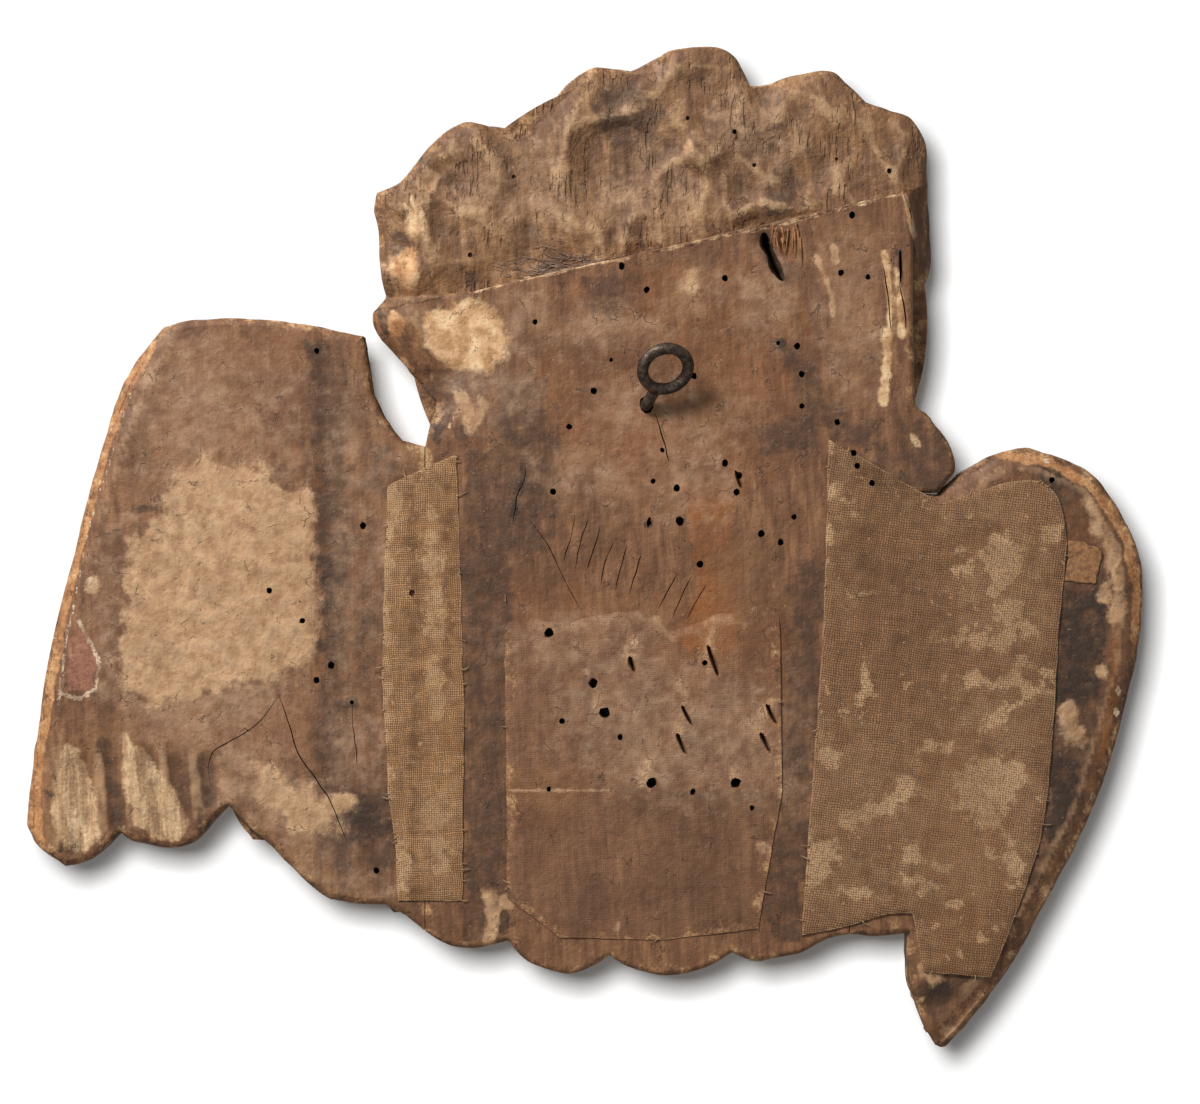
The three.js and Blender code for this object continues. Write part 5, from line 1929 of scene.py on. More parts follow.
@dataclass
class EyeScrew:
    """The iron ring and its bent shank, drawn from one wire."""

    node: str = "eye_screw"
    radius: float = 7.7
    wire: float = 1.95
    along: tuple[float, float, float] = (-0.94, 0.0, 0.342)
    axis: tuple[float, float, float] = (-0.191, 0.829, -0.526)
    route: tuple = ((3.2, -4.2, -6.6), (5, -6.4, -9.6), (6.2, -8.8, -11.6), (6.2, -14, -11.6),
        (6.2, -22, -11.6), (6.2, -32, -11.6))

    def dress(self) -> Object:
        """The ring, a circle carried round a circle and hammered a little, and the shank, the same down its route."""
        turn, around = np.meshgrid(np.linspace(0, 2 * math.pi, 97), np.linspace(0, 2 * math.pi, 25)[:-1],
            indexing="ij")
        turn, around = turn[:-1], around[:-1]
        along, axis = np.array(self.along), np.array(self.axis) / np.linalg.norm(self.axis)
        across = np.cross(axis, along)
        way = along * np.cos(turn)[..., None] + across * np.sin(turn)[..., None]
        wire = self.wire * (1 + 0.035 * noise(way * 7.7 + axis * np.sin(around)[..., None], 2.6, 61))
        reach, rise = self.radius + wire * np.cos(around), wire * np.sin(around)
        ring = way * reach[..., None] + axis * rise[..., None]
        rows, sides = turn.shape
        faces = grid_faces(rows + 1, sides, around=True) % (rows * sides)
        body = piece(self.node + "_iron", ring.reshape(-1, 3), faces.tolist())
        path = spline(np.array(self.route, float), 40)
        t = np.linspace(0, 1, 41)[:, None]
        size = self.wire * np.minimum(1, 1.9 - 1.2 * t) * np.minimum(1, np.sqrt(t / 0.02 + 0.3))
        turns = np.linspace(0, 2 * math.pi, 24, endpoint=False)
        size = size * (1 + 0.05 * noise(path, 2.5, 62))[:, None]
        shank = skin("shank", tube(path, size, size, np.array([0.3, 0, 1.0]), turns))
        combine(body, shank, "UNION")
        body.data.materials.clear()
        body.data.materials.append(IRON.material())
        return ready(body, self.node, 60)


def strands(name: str, paths: Sequence[Array], radius: float, thin: float = 0.6) -> Object:
    """Fibres: a five-sided tube along each path, which tapers to thin times its radius, all in one mesh.

    Args:
        name: the object's name.
        paths: points (N, 3) of each fibre.
        radius: in millimetres.
        thin: how thin it ends.

    Returns:
        The object.
    """
    turns = np.linspace(0, 2 * math.pi, 5, endpoint=False)
    points, faces, start = [], [], 0
    for path in paths:
        size = radius * np.linspace(1, thin, len(path))[:, None]
        points.append(tube(path, size, size, np.array([0.1, 0.3, 1.0]), turns).reshape(-1, 3))
        faces += grid_faces(len(path), 5, start, around=True).tolist()
        faces += [list(range(start, start + 5)), list(range(start + 5 * len(path) - 5,
            start + 5 * len(path)))]
        start += 5 * len(path)
    return piece(name, np.vstack(points), faces)


@dataclass(frozen=True)
class Remnant(Finish):
    """Something small and old that has no slot of its own: one colour of fibre with light and dark ends."""

    name: str = "flax_thread"
    middle: str = "#a58560"
    dark: str = "#755a3e"

    def shader(self, tree: Tree) -> Node:
        """Mottled along its length, matt."""
        mottle = add(tree, "TexNoise", {"Vector": self.millimetres(tree), "Scale": 0.6, "Detail": 5.0,
            "Roughness": 0.65})
        colour = add(tree, "ValToRGB", {0: mottle.outputs[0]}, ramp=[(0.38, self.dark), (0.58, self.middle)])
        bump = add(tree, "Bump", {"Height": mottle.outputs[0], "Distance": 0.15 * MM, "Strength": 1.0})
        return add(tree, "BsdfPrincipled", {"Base Color": colour, "Roughness": 0.85, "Normal": bump})


@dataclass
class Remnants:
    """What lies loose or stuck on the back: frayed threads, dust fibres, splinters and a scrap of paper."""

    seed: int = 81

    def settle(self, body: Object, finish: Finish) -> Object:
        """Its finish, and its tie to the frame."""
        body.data.materials.append(finish.material())
        body.data.shade_smooth()
        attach(body, "root")
        log.info("%s: %d points", body.name, len(body.data.vertices))
        return body

    def frayed(self, name: str, runs: Runs, level: float, count: int) -> Object:
        """Loose ends of thread that stick out of a linen's edge and lie on the wood.

        Args:
            name: the object's name.
            runs: the linen's outline.
            level: y of the linen's face.
            count: number of ends.

        Returns:
            The threads.
        """
        chance = np.random.default_rng(self.seed + count)
        ring = drawn_in(outline(runs, 2), 0.4)
        outwards = ring - drawn_in(ring, 1.0)
        paths = []
        for n in chance.integers(0, len(ring), count):
            length = chance.uniform(0.8, 2.6)
            t = np.linspace(0, 1, 6)[:, None]
            way = outwards[n] * length + chance.uniform(-0.7, 0.7, 2) * length
            at = ring[n] + way * t + chance.uniform(-0.5, 0.5, 2) * (t - t * t) * length
            paths.append(standing(at, level + 0.25 * (1 - t[:, 0])))
        return self.settle(strands(name, paths, 0.2), Remnant())

    def ledge(self, x: Array) -> Array:
        """z of the stop cut at x: a straight line between its ends."""
        (x0, z0), (x1, z1) = LEDGE
        return z0 + (x0 - x) * (z1 - z0) / (x0 - x1)

    def fibres(self) -> Object:
        """A tangle of hair and dust caught under the stop cut."""
        chance = np.random.default_rng(self.seed)
        paths = []
        for _ in range(34):
            middle = seen([(chance.uniform(515, 582), 0)])[0][0]
            z = self.ledge(middle) + chance.uniform(0.6, 5.0)
            at = np.array([middle, z]) + np.cumsum(chance.normal(0, 1, (7, 2)) * (2.4,
                0.9) + chance.normal(0, 1, 2) * (1.6, 0.25), 0)
            at[:, 1] = np.maximum(at[:, 1], self.ledge(at[:, 0]) + 0.6)
            at = spline(at, 24)
            y = HAIR_RIM.surface(at) + 0.5 + 0.35 * noise(flat(at), 3, int(z * 10))
            paths.append(standing(at, y))
        return self.settle(strands("dust_fibres", paths, 0.11), Remnant("dust_fibres", "#8f7a6b", "#54433a"))

    def splinters(self) -> Object:
        """Torn slivers of clean wood round the deep groove."""
        chance = np.random.default_rng(self.seed + 1)
        paths = []
        for _ in range(16):
            root = seen([(chance.uniform(770, 800), chance.uniform(222, 240))])[0]
            t = np.linspace(0, 1, 8)[:, None]
            at = root + t * np.array([chance.uniform(-1.5, 1.5), -chance.uniform(4, 10)])
            y = BACK + chance.uniform(-0.4, 0.5) + 0.5 * np.sin(t[:, 0] * math.pi) * chance.uniform(0, 1)
            paths.append(standing(at, y))
        body = self.settle(strands("wound_splinters", paths, 0.42, 0.1),
            Remnant("limewood_splinters", "#9d6a42", "#6a4429"))
        return body

    def scrap(self) -> Object:
        """A torn scrap of brown paper stuck to the folded wing, one corner lifting."""
        u, v = np.meshgrid(np.linspace(-1, 1, 30), np.linspace(-1, 1, 30))
        middle = seen([(1083, 563)])[0]
        torn = 1 + 0.16 * noise(np.stack([u, v, 0 * u], -1) * 4, 2.2,
            91) + 0.06 * noise(np.stack([u, v, 0 * u], -1) * 4, 0.7, 92)
        x, z = middle[0] - (5.4 * u + 0.8 * v) * torn, middle[1] + (6.6 * v - 0.6 * u) * torn
        board = RightWingBoard("scrap_bed", WING_RIGHT_OUTLINE).surface(np.stack([x.ravel(), z.ravel()],
            -1)).reshape(x.shape)
        y = board + 0.25 + 1.1 * smooth(0.5, 1.4, u * 0.7 + v
            * 0.7) + 0.12 * noise(np.stack([x, 0 * x, z], -1), 3, 93)
        front = np.stack([x, y, z], -1)
        return self.settle(slab("paper_scrap", front, front - np.array([0, 0.18, 0])),
            Remnant("old_brown_paper", "#946840", "#68462c"))

    def dress(self) -> None:
        """The pieces that no linen makes."""
        self.fibres()
        self.splinters()
        self.scrap()


# Stage, light and camera


@dataclass(frozen=True)
class Studio:
    """A white card behind, soft light from the photograph's upper left, and the camera.

    The key lamp gives the relief its shadows and the front lamp shows the face. Neither lights the card,
    which has a lamp of its own.
    """

    focal: float = 140.0
    sensor: float = 36.0
    view_width: float = 0.4  # metres across the picture: 1200 of its pixels, a third of a millimetre each
    view_middle: tuple[float, float] = (0.02167, -0.06067)  # x and z at the middle of the picture
    wall: float = -0.135  # the card's y, behind the nose
    wall_reach: float = 3.0
    daylight: float = 0.36

    def card(self, name: str, low: tuple[float, float, float], high: tuple[float, float, float],
            normal: tuple[float, float, float]) -> Object:
        """A flat card between two corners that faces along normal.

        Args:
            name: the object's name.
            low: one corner.
            high: the other corner.
            normal: the way that it faces.

        Returns:
            The card, marked as stage.
        """
        axis = int(np.argmax(np.abs(normal)))
        a, b = (k for k in range(3) if k != axis)
        points = np.zeros((4, 3))
        points[:, axis] = low[axis]
        points[:, a] = np.array([low[a], high[a], high[a], low[a]])
        points[:, b] = np.array([low[b], low[b], high[b], high[b]])
        mesh = bpy.data.meshes.new(name)
        mesh.from_pydata(points.tolist(), [], [(0, 1, 2, 3)])
        mesh.update()
        if np.dot(mesh.polygons[0].normal, normal) < 0:
            mesh.flip_normals()
        body = bpy.data.objects.new(name, mesh)
        bpy.context.scene.collection.objects.link(body)
        return body

    def build(self) -> None:
        """Card, world, lamps and camera; the card's own lamp stands near the lens and throws its soft shadow."""
        reach = self.wall_reach
        wall = self.card("stage_wall", (-reach, self.wall, -reach), (reach, self.wall, reach), (0, 1, 0))
        wall.data.materials.append(PaleStage().material())
        wall.visible_shadow = wall.visible_diffuse = wall.visible_glossy = False
        world = bpy.data.worlds.new("studio")
        world.use_nodes = True
        world.node_tree.nodes["Background"].inputs["Color"].default_value = linear("#ffffff")
        world.node_tree.nodes["Background"].inputs["Strength"].default_value = self.daylight
        bpy.context.scene.world = world
        self.lamp("key", (0.95, 1.05, 1.15), 50, 0.5, wall, "EXCLUDE")
        self.lamp("front", (0.5, -1.6, 0.6), 14, 1.0, wall, "EXCLUDE")
        self.lamp("card_lamp", (0.088, 1.56, 0.014), 66, 0.12, wall, "INCLUDE")
        bpy.context.scene.view_settings.view_transform = "Standard"
        self.camera()

    def lamp(self, name: str, at: tuple[float, float, float], power: float, size: float, wall: Object,
            way: str) -> None:
        """A square lamp that looks at the middle of the carving and lights only, or all but, the wall.

        Args:
            name: the lamp's name.
            at: where it stands.
            power: in watts.
            size: its side, in metres.
            wall: the card.
            way: INCLUDE lights only the card, EXCLUDE all but the card.
        """
        light = bpy.data.lights.new(name, "AREA")
        light.energy, light.size = power, size
        body = bpy.data.objects.new(name, light)
        body.location = at
        aim = np.array([0.03, 0, -0.06]) - np.array(at)
        body.rotation_euler = Vector(aim).to_track_quat("-Z", "Y").to_euler()
        bpy.context.scene.collection.objects.link(body)
        lit = bpy.data.collections.new(name + "_lit")
        lit.objects.link(wall)
        body.light_linking.receiver_collection = lit
        lit.collection_objects[0].light_linking.link_state = way

    def camera(self) -> None:
        """Square on to the back, far away, framed so that a pixel is a third of a millimetre."""
        lens = bpy.data.cameras.new("camera")
        lens.lens, lens.sensor_width = self.focal, self.sensor
        body = bpy.data.objects.new("camera", lens)
        x, z = self.view_middle
        body.location = (x, BACK * MM + self.view_width * self.focal / self.sensor, z)
        body.rotation_euler = (math.pi / 2, 0, math.pi)
        bpy.context.scene.collection.objects.link(body)
        bpy.context.scene.camera = body


# Marks, as the photograph shows them

BLOCK_MARKS: Marks = {
    Tone.FRESH: (
        Area(((370, 310), (475, 292), (551, 273), (590, 262), (660, 250), (770, 226), (849, 206), (904, 192),
        (940, 180), (940, 40), (370, 40)), 0.6),
    ),
    Tone.PALE: (
        Area(((423, 162), (438, 175), (432, 193), (420, 188)), 0.8),
        Spot(689, 144, 5, 7, 0.6), Spot(690, 282, 8, 9, 1.2),
        Trail(((459, 395), (468, 405), (470, 427)), 2, 1),
        Trail(((480, 396), (484, 410), (476, 428)), 1.2, 0.8),
        Trail(((488, 896), (492, 915), (490, 940)), 2, 1), Trail(((505, 898), (507, 905)), 1.5, 0.8),
        Trail(((817, 259), (826, 278), (831, 295), (833, 316)), 0.9, 0.5),
        Trail(((834, 248), (836, 262)), 1, 0.5),
    ),
    Tone.SMEAR: (
        Spot(668, 160, 26, 40, 3), Spot(640, 190, 44, 14, 3), Spot(760, 130, 34, 26, 4),
        Spot(520, 190, 40, 30, 4),
        Area(((650, 440), (720, 440), (735, 480), (720, 515), (660, 520)), 3), Spot(704, 288, 24, 22, 2),
        Spot(640, 400, 40, 24, 4), Spot(560, 470, 20, 14, 3), Spot(700, 425, 44, 26, 4),
        Spot(610, 480, 26, 16, 3),
        Area(((450, 370), (510, 372), (560, 380), (540, 410), (490, 420), (455, 410)), 3),
        Spot(590, 330, 60, 14, 4),
        Spot(760, 300, 26, 34, 4), Spot(850, 320, 22, 50, 4), Spot(520, 320, 20, 40, 3),
        Area(((560, 690), (640, 640), (700, 680), (780, 690), (785, 790), (640, 790), (560, 740)), 5),
        Spot(560, 640, 40, 20, 4),
    ),
    Tone.PUTTY: (
        Area(((420, 318), (440, 306), (470, 300), (494, 310), (508, 330), (507, 352), (486, 370), (450, 368),
        (428, 352)), 1.8),
        Spot(403, 268, 14, 18, 1.5), Spot(412, 222, 8, 12, 1),
        Trail(((885, 252), (888, 275), (890, 300), (888, 330)), 1, 0.5),
        Trail(((887, 330), (887, 362), (883, 402)), 1.5, 0.7),
        Trail(((896, 268), (900, 300), (902, 335)), 1.1, 0.6),
        Trail(((905, 193), (910, 215), (915, 234)), 1, 0.5),
    ),
    Tone.CREAM: (
        Trail(((410, 196), (417, 210), (423, 232)), 1, 0.6), Trail(((419, 204), (425, 222)), 0.6, 0.4),
        Trail(((466, 390), (458, 408), (449, 427)), 0.5, 0.3), Trail(((403, 200), (409, 216)), 0.6, 0.5),
        # These two run along the stop cut: its chipped bare wood, and a painted highlight on its upward step.
        Trail(((475, 292), (523, 279), (551, 274), (590, 264), (628, 259)), 0.5, 0.5),
        Trail(((660, 251), (700, 241), (770, 227), (849, 207), (904, 193)), 0.4, 0.4),
        Trail(((912, 436), (917, 444)), 1.2, 0.6),
    ),
    Tone.GILT: (Spot(396, 325, 9, 12, 1), Spot(404, 262, 12, 18, 1.2)),
    Tone.WARM: (
        Area(((560, 290), (760, 250), (800, 330), (790, 470), (700, 520), (560, 470), (520, 380)), 4),
        Area(((500, 560), (600, 600), (790, 600), (790, 690), (500, 690)), 4),
    ),
    Tone.ORANGE: (
        Area(((692, 500), (712, 493), (732, 505), (736, 560), (742, 620), (736, 655), (690, 655), (678, 640),
        (697, 597), (690, 550)), 2.5),
        Area(((768, 232), (790, 224), (803, 240), (799, 259), (782, 262)), 1),
        Trail(((800, 300), (806, 330)), 1, 1),
    ),
    Tone.MAUVE: (
        Area(((600, 380), (660, 410), (720, 440), (740, 500), (660, 520), (590, 490), (570, 430)), 4),
        Area(((820, 250), (880, 230), (880, 400), (830, 420)), 4),
    ),
    Tone.DARK: (
        Spot(398, 243, 13, 13, 1.2), Spot(470, 276, 9, 10, 1),
        Area(((590, 90), (625, 78), (660, 100), (655, 145), (600, 140)), 3),
        # The next area is the notch under the curl at the upper left: painted shade on its underside and receding
        # wall.
        Area(((424, 366), (464, 372), (464, 392), (452, 420), (441, 433), (430, 444), (428, 400)), 1),
        Spot(460, 434, 7, 9, 1), Area(((465, 450), (505, 450), (512, 600), (506, 940), (465, 940)), 2.5),
        Area(((500, 380), (545, 370), (560, 420), (556, 500), (540, 560), (490, 560)), 4),
        Area(((792, 560), (828, 555), (820, 700), (800, 940), (760, 940), (785, 750)), 2.5),
        Area(((751, 425), (790, 415), (818, 424), (815, 450), (760, 454)), 1.5),
        Area(((786, 340), (800, 430), (830, 430), (880, 470), (900, 470), (880, 430), (830, 400)), 3),
        Area(((900, 420), (950, 430), (950, 500), (900, 490)), 2), Spot(520, 500, 14, 30, 2.5),
        Spot(870, 470, 16, 14, 2), Spot(610, 292, 26, 20, 3),
        Area(((757, 200), (790, 150), (800, 200), (780, 225)), 4),
    ),
    Tone.BLACK: (
        # Where these lie on the cracks, the groove, the nail holes and in the notch under the curl, they are painted
        # shade in those openings.
        Trail(((374, 300), (381, 316), (388, 332)), 1.4, 0.8), Spot(778, 343, 8, 6, 1),
        Area(((499, 908), (508, 908), (508, 935), (499, 935)), 0.5),
        Trail(((522, 466), (524, 482), (517, 495), (515, 508), (512, 522)), 1.3, 1),
        Trail(((765, 236), (772, 260), (783, 281)), 1.9, 0.8),
        Trail(((774, 340), (782, 350)), 1.2, 0.8), Spot(649, 523, 5, 5, 0.8), Spot(680, 520, 5, 5, 0.8),
        Trail(((898, 250), (901, 285)), 0.8, 0.8), Trail(((430, 405), (436, 440)), 1.4, 1),
    ),
}
LEFT_WING_MARKS: Marks = {
    Tone.PALE: (
        Area(((125, 590), (130, 540), (160, 512), (172, 482), (205, 458), (225, 470), (265, 465), (275, 490),
        (312, 487), (318, 600),
              (316, 650), (300, 668), (230, 690), (150, 705), (122, 690), (118, 640)), 2.2),
        Area(((333, 794), (356, 794), (356, 811), (333, 811)), 1), Spot(93, 583, 8, 12, 0.8),
        Spot(180, 640, 40, 40, 6),
        Area(((250, 760), (290, 780), (330, 800), (345, 830), (300, 830), (262, 800)), 2.5),
    ),
    Tone.SMEAR: (
        Area(((90, 560), (128, 520), (150, 530), (120, 600), (118, 700), (96, 700)), 3),
        Area(((120, 690), (300, 660), (310, 700), (200, 740), (130, 730)), 3),
        Area(((200, 735), (270, 740), (330, 800), (350, 860), (300, 860), (215, 800)), 3),
        Spot(260, 420, 40, 60, 6), Spot(180, 400, 50, 60, 8),
        Area(((325, 720), (380, 720), (384, 780), (330, 780)), 3), Spot(345, 440, 14, 40, 4),
        Spot(375, 520, 12, 60, 4),
        Area(((280, 860), (350, 868), (400, 890), (380, 900), (300, 880)), 2), Spot(345, 570, 8, 60, 4),
    ),
    Tone.CREAM: (
        Area(((66, 745), (78, 750), (93, 794), (100, 833), (85, 852), (64, 850), (52, 818), (56, 770)), 1.2),
        Area(((124, 736), (148, 757), (165, 779), (180, 794), (187, 825), (175, 842), (156, 840), (134, 825),
        (124, 789)), 1.4),
    ),
    Tone.MAUVE: (
        Area(((165, 335), (300, 330), (305, 460), (205, 455), (150, 495), (110, 545), (130, 440)), 3),
        Area(((120, 700), (230, 695), (300, 690), (310, 760), (240, 740), (190, 745), (130, 735)), 3),
    ),
    Tone.WARM: (Area(((232, 336), (303, 336), (303, 464), (240, 464)), 3),
    Trail(((257, 488), (267, 474), (284, 468)), 2, 1.2)),
    Tone.ORANGE: (Trail(((276, 508), (281, 530), (283, 551)), 1, 1),
    Trail(((255, 490), (266, 475), (284, 468)), 1, 0.8)),
    Tone.DARK: (
        Area(((305, 340), (330, 345), (345, 420), (350, 560), (345, 700), (350, 780), (350, 870), (313, 870),
        (320, 640), (314, 560), (316, 480)), 2),
        Area(((345, 790), (395, 790), (395, 870), (345, 870)), 2.5), Spot(378, 470, 12, 30, 3),
        Spot(368, 620, 10, 50, 3),
        # These two dark lines lie in gouged flutes of the tips, on their shaded sides: painted shade.
        Trail(((104, 745), (112, 790), (118, 832)), 2.4, 1.5),
        Trail(((196, 760), (202, 800), (205, 830)), 2, 1.5),
        Trail(((255, 490), (266, 475), (284, 468)), 1.4, 1),
    ),
    Tone.BLACK: (
        Spot(330, 575, 10, 14, 2), Spot(325, 650, 8, 30, 3), Spot(360, 820, 26, 18, 4),
        Spot(326, 610, 6, 10, 2), Trail(((133, 510), (156, 509)), 0.9, 0.6), Spot(255, 504, 6, 6, 1),
        # The spots at 352, 702 and at 317, 351 lie on a nail hole and a wormhole: painted shade in them.
        Trail(((93, 538), (135, 525)), 0.3, 0.3), Spot(328, 577, 9, 9, 1), Spot(352, 702, 6, 6, 1),
        Spot(317, 351, 5, 7, 0.8),
        Trail(((44, 790), (60, 800), (62, 850)), 0.8, 1),
    ),
    Tone.GILT: (
        Trail(((146, 347), (123, 383), (107, 430), (91, 478), (79, 527), (67, 573), (57, 620), (45, 690),
        (34, 760), (30, 800), (34, 850)), 3.1, 0.6),
    ),
    Tone.GESSO: (
        Trail(((133, 383), (119, 426), (107, 470), (96, 500), (86, 539), (79, 577), (74, 604)), 0.3, 0.35),
        Trail(((74, 604), (66, 636), (61, 680), (58, 704)), 0.5, 0.4),
        Trail(((79, 622), (93, 648), (99, 663), (95, 690), (79, 699), (60, 694)), 0.7, 0.5),
        Spot(93, 583, 5, 8, 0.6),
    ),
    Tone.BOLE: (Area(((68, 640), (82, 624), (92, 650), (97, 668), (90, 692), (66, 692)), 1),),
}
RIGHT_WING_MARKS: Marks = {
    Tone.DARK: (
        Area(((1030, 460), (1066, 460), (1100, 520), (1112, 600), (1100, 720), (1070, 850), (1010, 950),
        (940, 1020), (900, 1000), (960, 940), (1040, 860)), 2.5),
        Trail(((1000, 452), (1060, 462), (1105, 500), (1130, 570), (1133, 640), (1120, 720), (1100, 800)),
        1.6, 2),
    ),
    Tone.ORANGE: (
        Area(((1066, 497), (1088, 500), (1096, 545), (1070, 545)), 1.5),
        Trail(((1030, 455), (1050, 466)), 1.2, 0.8),
        Trail(((1112, 640), (1114, 700), (1100, 760)), 1.2, 1.2),
        Trail(((1060, 850), (1030, 905), (1000, 950)), 1.4, 1.6),
    ),
    Tone.BLACK: (
        Area(((1063, 590), (1103, 587), (1105, 642), (1097, 700), (1056, 710), (1060, 650)), 1.2),
        Area(((1049, 748), (1081, 748), (1075, 800), (1055, 841), (1045, 841)), 2),
        Spot(1050, 480, 12, 14, 1.5),
        Area(((913, 911), (935, 911), (935, 928), (913, 928)), 0.6), Spot(940, 996, 14, 14, 1.5),
    ),
    Tone.PALE: (
        Spot(1105, 594, 8, 9, 0.8), Spot(1117, 613, 8, 12, 0.8), Spot(1068, 715, 10, 14, 1),
        Spot(1102, 669, 7, 9, 0.8),
        Spot(950, 1032, 10, 8, 0.8), Spot(931, 970, 10, 14, 1.2), Spot(1075, 735, 12, 10, 1.2),
        Trail(((1090, 500), (1112, 560), (1120, 610)), 1.5, 1.5),
    ),
    Tone.GESSO: (Spot(1117, 712, 3, 5, 0.4), Spot(1093, 797, 3, 4, 0.4), Spot(1047, 461, 4, 3, 0.4),
    Spot(1119, 691, 3, 5, 0.4)),
    Tone.GILT: (Trail(((1000, 455), (1050, 462), (1090, 485), (1125, 530), (1138, 590), (1136, 640)), 1.6,
    0.8),),
}
STRIP_MARKS: Marks = {
    Tone.DARK: (Area(((408, 480), (418, 480), (418, 900), (410, 900)), 2),
    Trail(((446, 470), (448, 600), (448, 700)), 1.2, 1.5)),
    Tone.PALE: (
        Trail(((393, 470), (394, 520)), 2, 1.5), Trail(((432, 480), (434, 560), (436, 640), (434, 720)), 1.2,
        2.5),
        Spot(402, 870, 10, 20, 2), Trail(((388, 500), (386, 640), (388, 800)), 1, 1),
        Spot(440, 830, 9, 30, 2.5),
    ),
    Tone.WARM: (Area(((424, 520), (462, 520), (462, 760), (428, 760)), 6),),
}
SHEET_MARKS: Marks = {
    Tone.PALE: (
        Spot(1048, 531, 13, 13, 1.3), Spot(1003, 562, 18, 24, 1.6), Spot(998, 589, 8, 10, 1.2),
        Spot(1013, 611, 14, 12, 1.4), Spot(1025, 625, 12, 10, 1.2),
        Spot(1003, 642, 16, 9, 1.4), Spot(1025, 659, 10, 9, 1.2), Spot(974, 637, 16, 7, 2),
        Spot(1005, 679, 30, 5, 2),
        Trail(((980, 736), (998, 719), (1030, 690)), 1.3, 1.5), Spot(988, 795, 26, 30, 2.6),
        Spot(1012, 771, 12, 10, 1.5),
        Trail(((850, 822), (884, 804), (908, 790)), 2.2, 2.2), Spot(828, 758, 10, 8, 1.5),
        Spot(821, 860, 16, 20, 2.2),
        Spot(887, 845, 6, 6, 1), Spot(916, 855, 12, 7, 1.4), Spot(925, 882, 13, 9, 1.5),
        Spot(954, 903, 9, 9, 1.2), Spot(1015, 870, 8, 16, 1.4),
        Spot(991, 850, 6, 7, 1), Spot(940, 870, 8, 9, 1.4),
        Trail(((831, 440), (831, 500), (829, 560)), 0.8, 0.8), Spot(865, 690, 5, 12, 1.6),
        Spot(960, 560, 10, 10, 2.4), Spot(850, 500, 9, 8, 1.8), Spot(930, 750, 10, 7, 2),
        Spot(850, 890, 14, 8, 2), Spot(1000, 930, 8, 6, 1.5),
    ),
    Tone.DARK: (Area(((828, 440), (900, 470), (935, 500), (900, 505), (830, 470)), 2.5),
    Trail(((905, 560), (902, 650)), 1.5, 4), Spot(865, 560, 10, 20, 3)),
    Tone.SMEAR: (
        Spot(1010, 610, 40, 70, 5), Spot(1000, 720, 50, 50, 6), Spot(860, 800, 60, 60, 7),
        Spot(960, 860, 70, 50, 7), Spot(840, 880, 40, 40, 5),
        Spot(1000, 500, 50, 20, 4), Area(((826, 445), (850, 445), (846, 600), (826, 600)), 3),
        Spot(990, 800, 46, 46, 5),
    ),
    Tone.WARM: (Area(((930, 760), (960, 740), (1000, 900), (940, 960)), 7),),
}
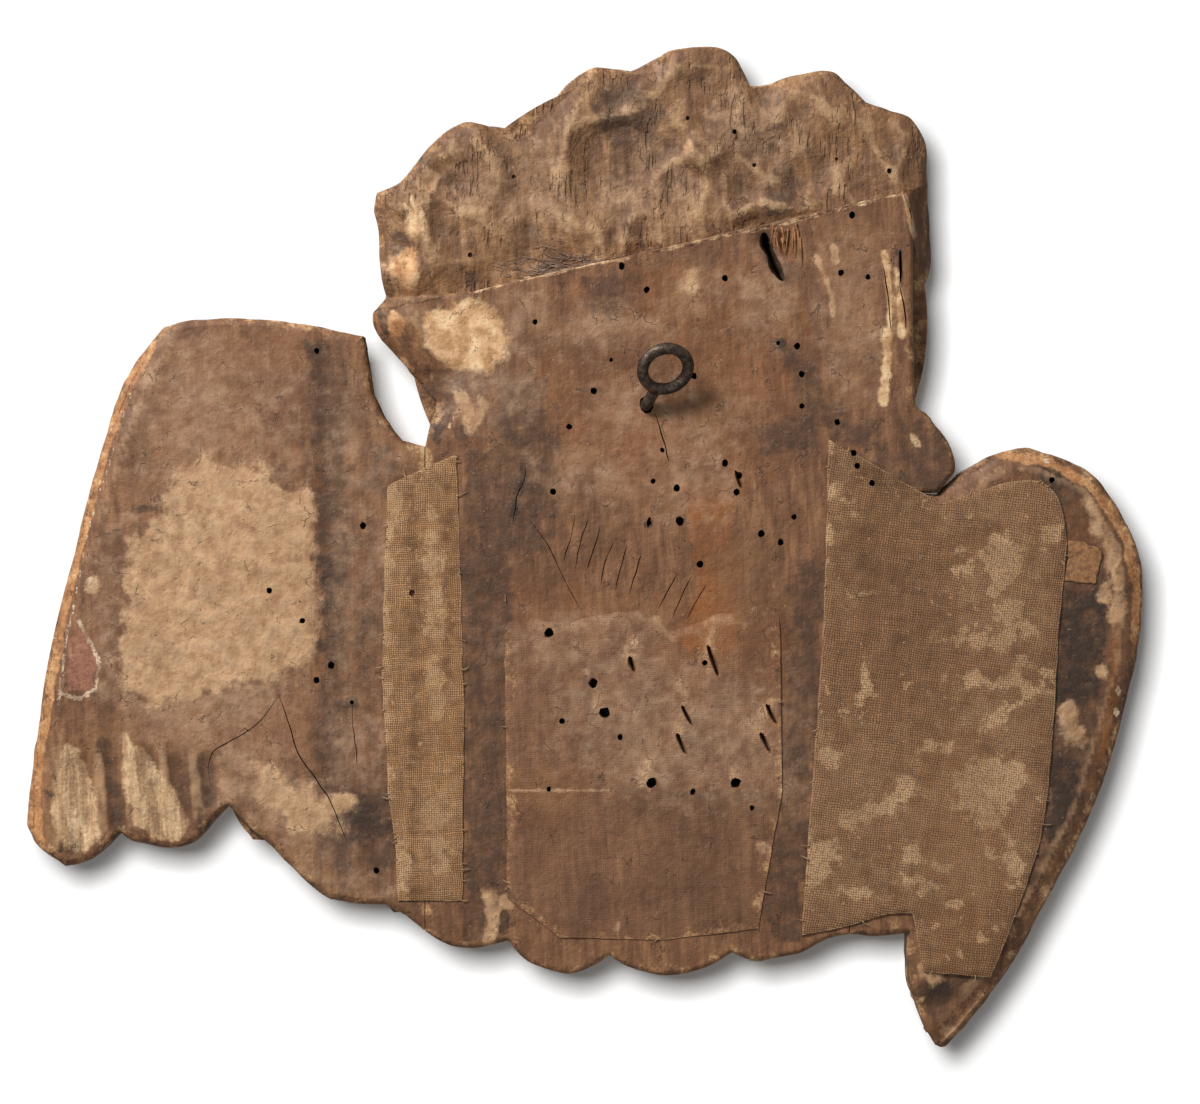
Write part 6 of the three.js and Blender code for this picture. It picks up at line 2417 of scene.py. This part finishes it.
PATCH_MARKS: Marks = {
    **BLOCK_MARKS,
    Tone.PALE: (
        Spot(764, 848, 7, 6, 0.8), Spot(801, 762, 6, 6, 0.8),
        Trail(((504, 791), (560, 791), (609, 790)), 0.3, 0.5), Trail(((617, 920), (617, 934)), 0.9, 0.6),
        # Pale spots up and to the left of four large holes and beside each slot: painted highlight on their rims.
        *(Spot(x - 3, y - 6, 3, 5, 2) for x, y in LARGE_HOLES[:4]),
        *(Spot((a[0] + b[0]) / 2 - 4, a[1], 3, 8, 2) for a, b in PATCH_SLOTS),
    ),
    Tone.ORANGE: BLOCK_MARKS[Tone.ORANGE] + tuple(Trail(line, 1.3, 0.9) for line in PATCH_SLOTS),
    Tone.WARM: (Area(((660, 605), (790, 605), (790, 700), (700, 700), (650, 650)), 6),
    Area(((504, 770), (600, 780), (560, 830), (508, 820)), 6)),
    Tone.MAUVE: (Area(((560, 660), (790, 680), (790, 790), (600, 790), (550, 720)), 7),
    Area(((520, 600), (640, 600), (620, 680), (520, 680)), 6)),
    Tone.DARK: (Spot(590, 700, 8, 26, 3), Spot(690, 735, 10, 16, 3), Trail(((620, 790), (790, 800)), 0.5, 2)),
}


def main() -> None:
    """Builds the stage, then every sub-assembly in turn."""
    logging.basicConfig(level=logging.INFO, format="%(name)s: %(message)s")
    Studio().build()
    HeadBlock().dress()
    Wing(
        "wing_left", LeftWingBoard("wing_left_wood", WING_LEFT_OUTLINE, worn=2.2, pitch=1.1,
        joints=(JOINT_LEFT,), seed=7),
        LEFT_FLIGHT, LEFT_ARM, ((20, IN_FRONT, -FOREVER), (JOINT_LEFT + GAP / 2, BEHIND, 100)),
        LEFT_WING_MARKS, left_wing_holes,
    ).dress()
    Wing(
        "wing_right", RightWingBoard("wing_right_wood", WING_RIGHT_OUTLINE, worn=2.0, pitch=1.1,
        joints=(JOINT_RIGHT,), seed=8),
        RIGHT_FLIGHT, RIGHT_ARM, ((JOINT_RIGHT - GAP / 2, IN_FRONT, -FOREVER), (FOREVER, BEHIND, 100)),
        RIGHT_WING_MARKS, right_wing_holes,
    ).dress()
    strip = Cloth("strip", STRIP_OUTLINE, thick=0.55, seed=21)
    sheet = Cloth("sheet", SHEET_OUTLINE, thick=0.7, ridge=0.18, seed=22)
    patch = Cloth("patch", PATCH_OUTLINE, thick=0.35, ridge=0.05, seed=23, taper=4.0, buried=12.0)
    Linen("linen_strip_left_joint", strip, SizedLinen("linen_strip_sized", 0.7, "#b98f66", "#936c49",
        "#664830"), ("head_block", "wing_left"), STRIP_MARKS, 2, 40).dress()
    Linen("linen_sheet_right_joint", sheet, SizedLinen("linen_sheet_sized", 0.8),
        ("head_block", "wing_right"), SHEET_MARKS, -8, 30).dress()
    Linen("linen_patch_centre", patch, PaintedLinen(), ("head_block",), PATCH_MARKS, 0, 8).dress()
    EyeScrew().dress()
    Remnants().dress()
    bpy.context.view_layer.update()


if __name__ == "__main__":
    main()
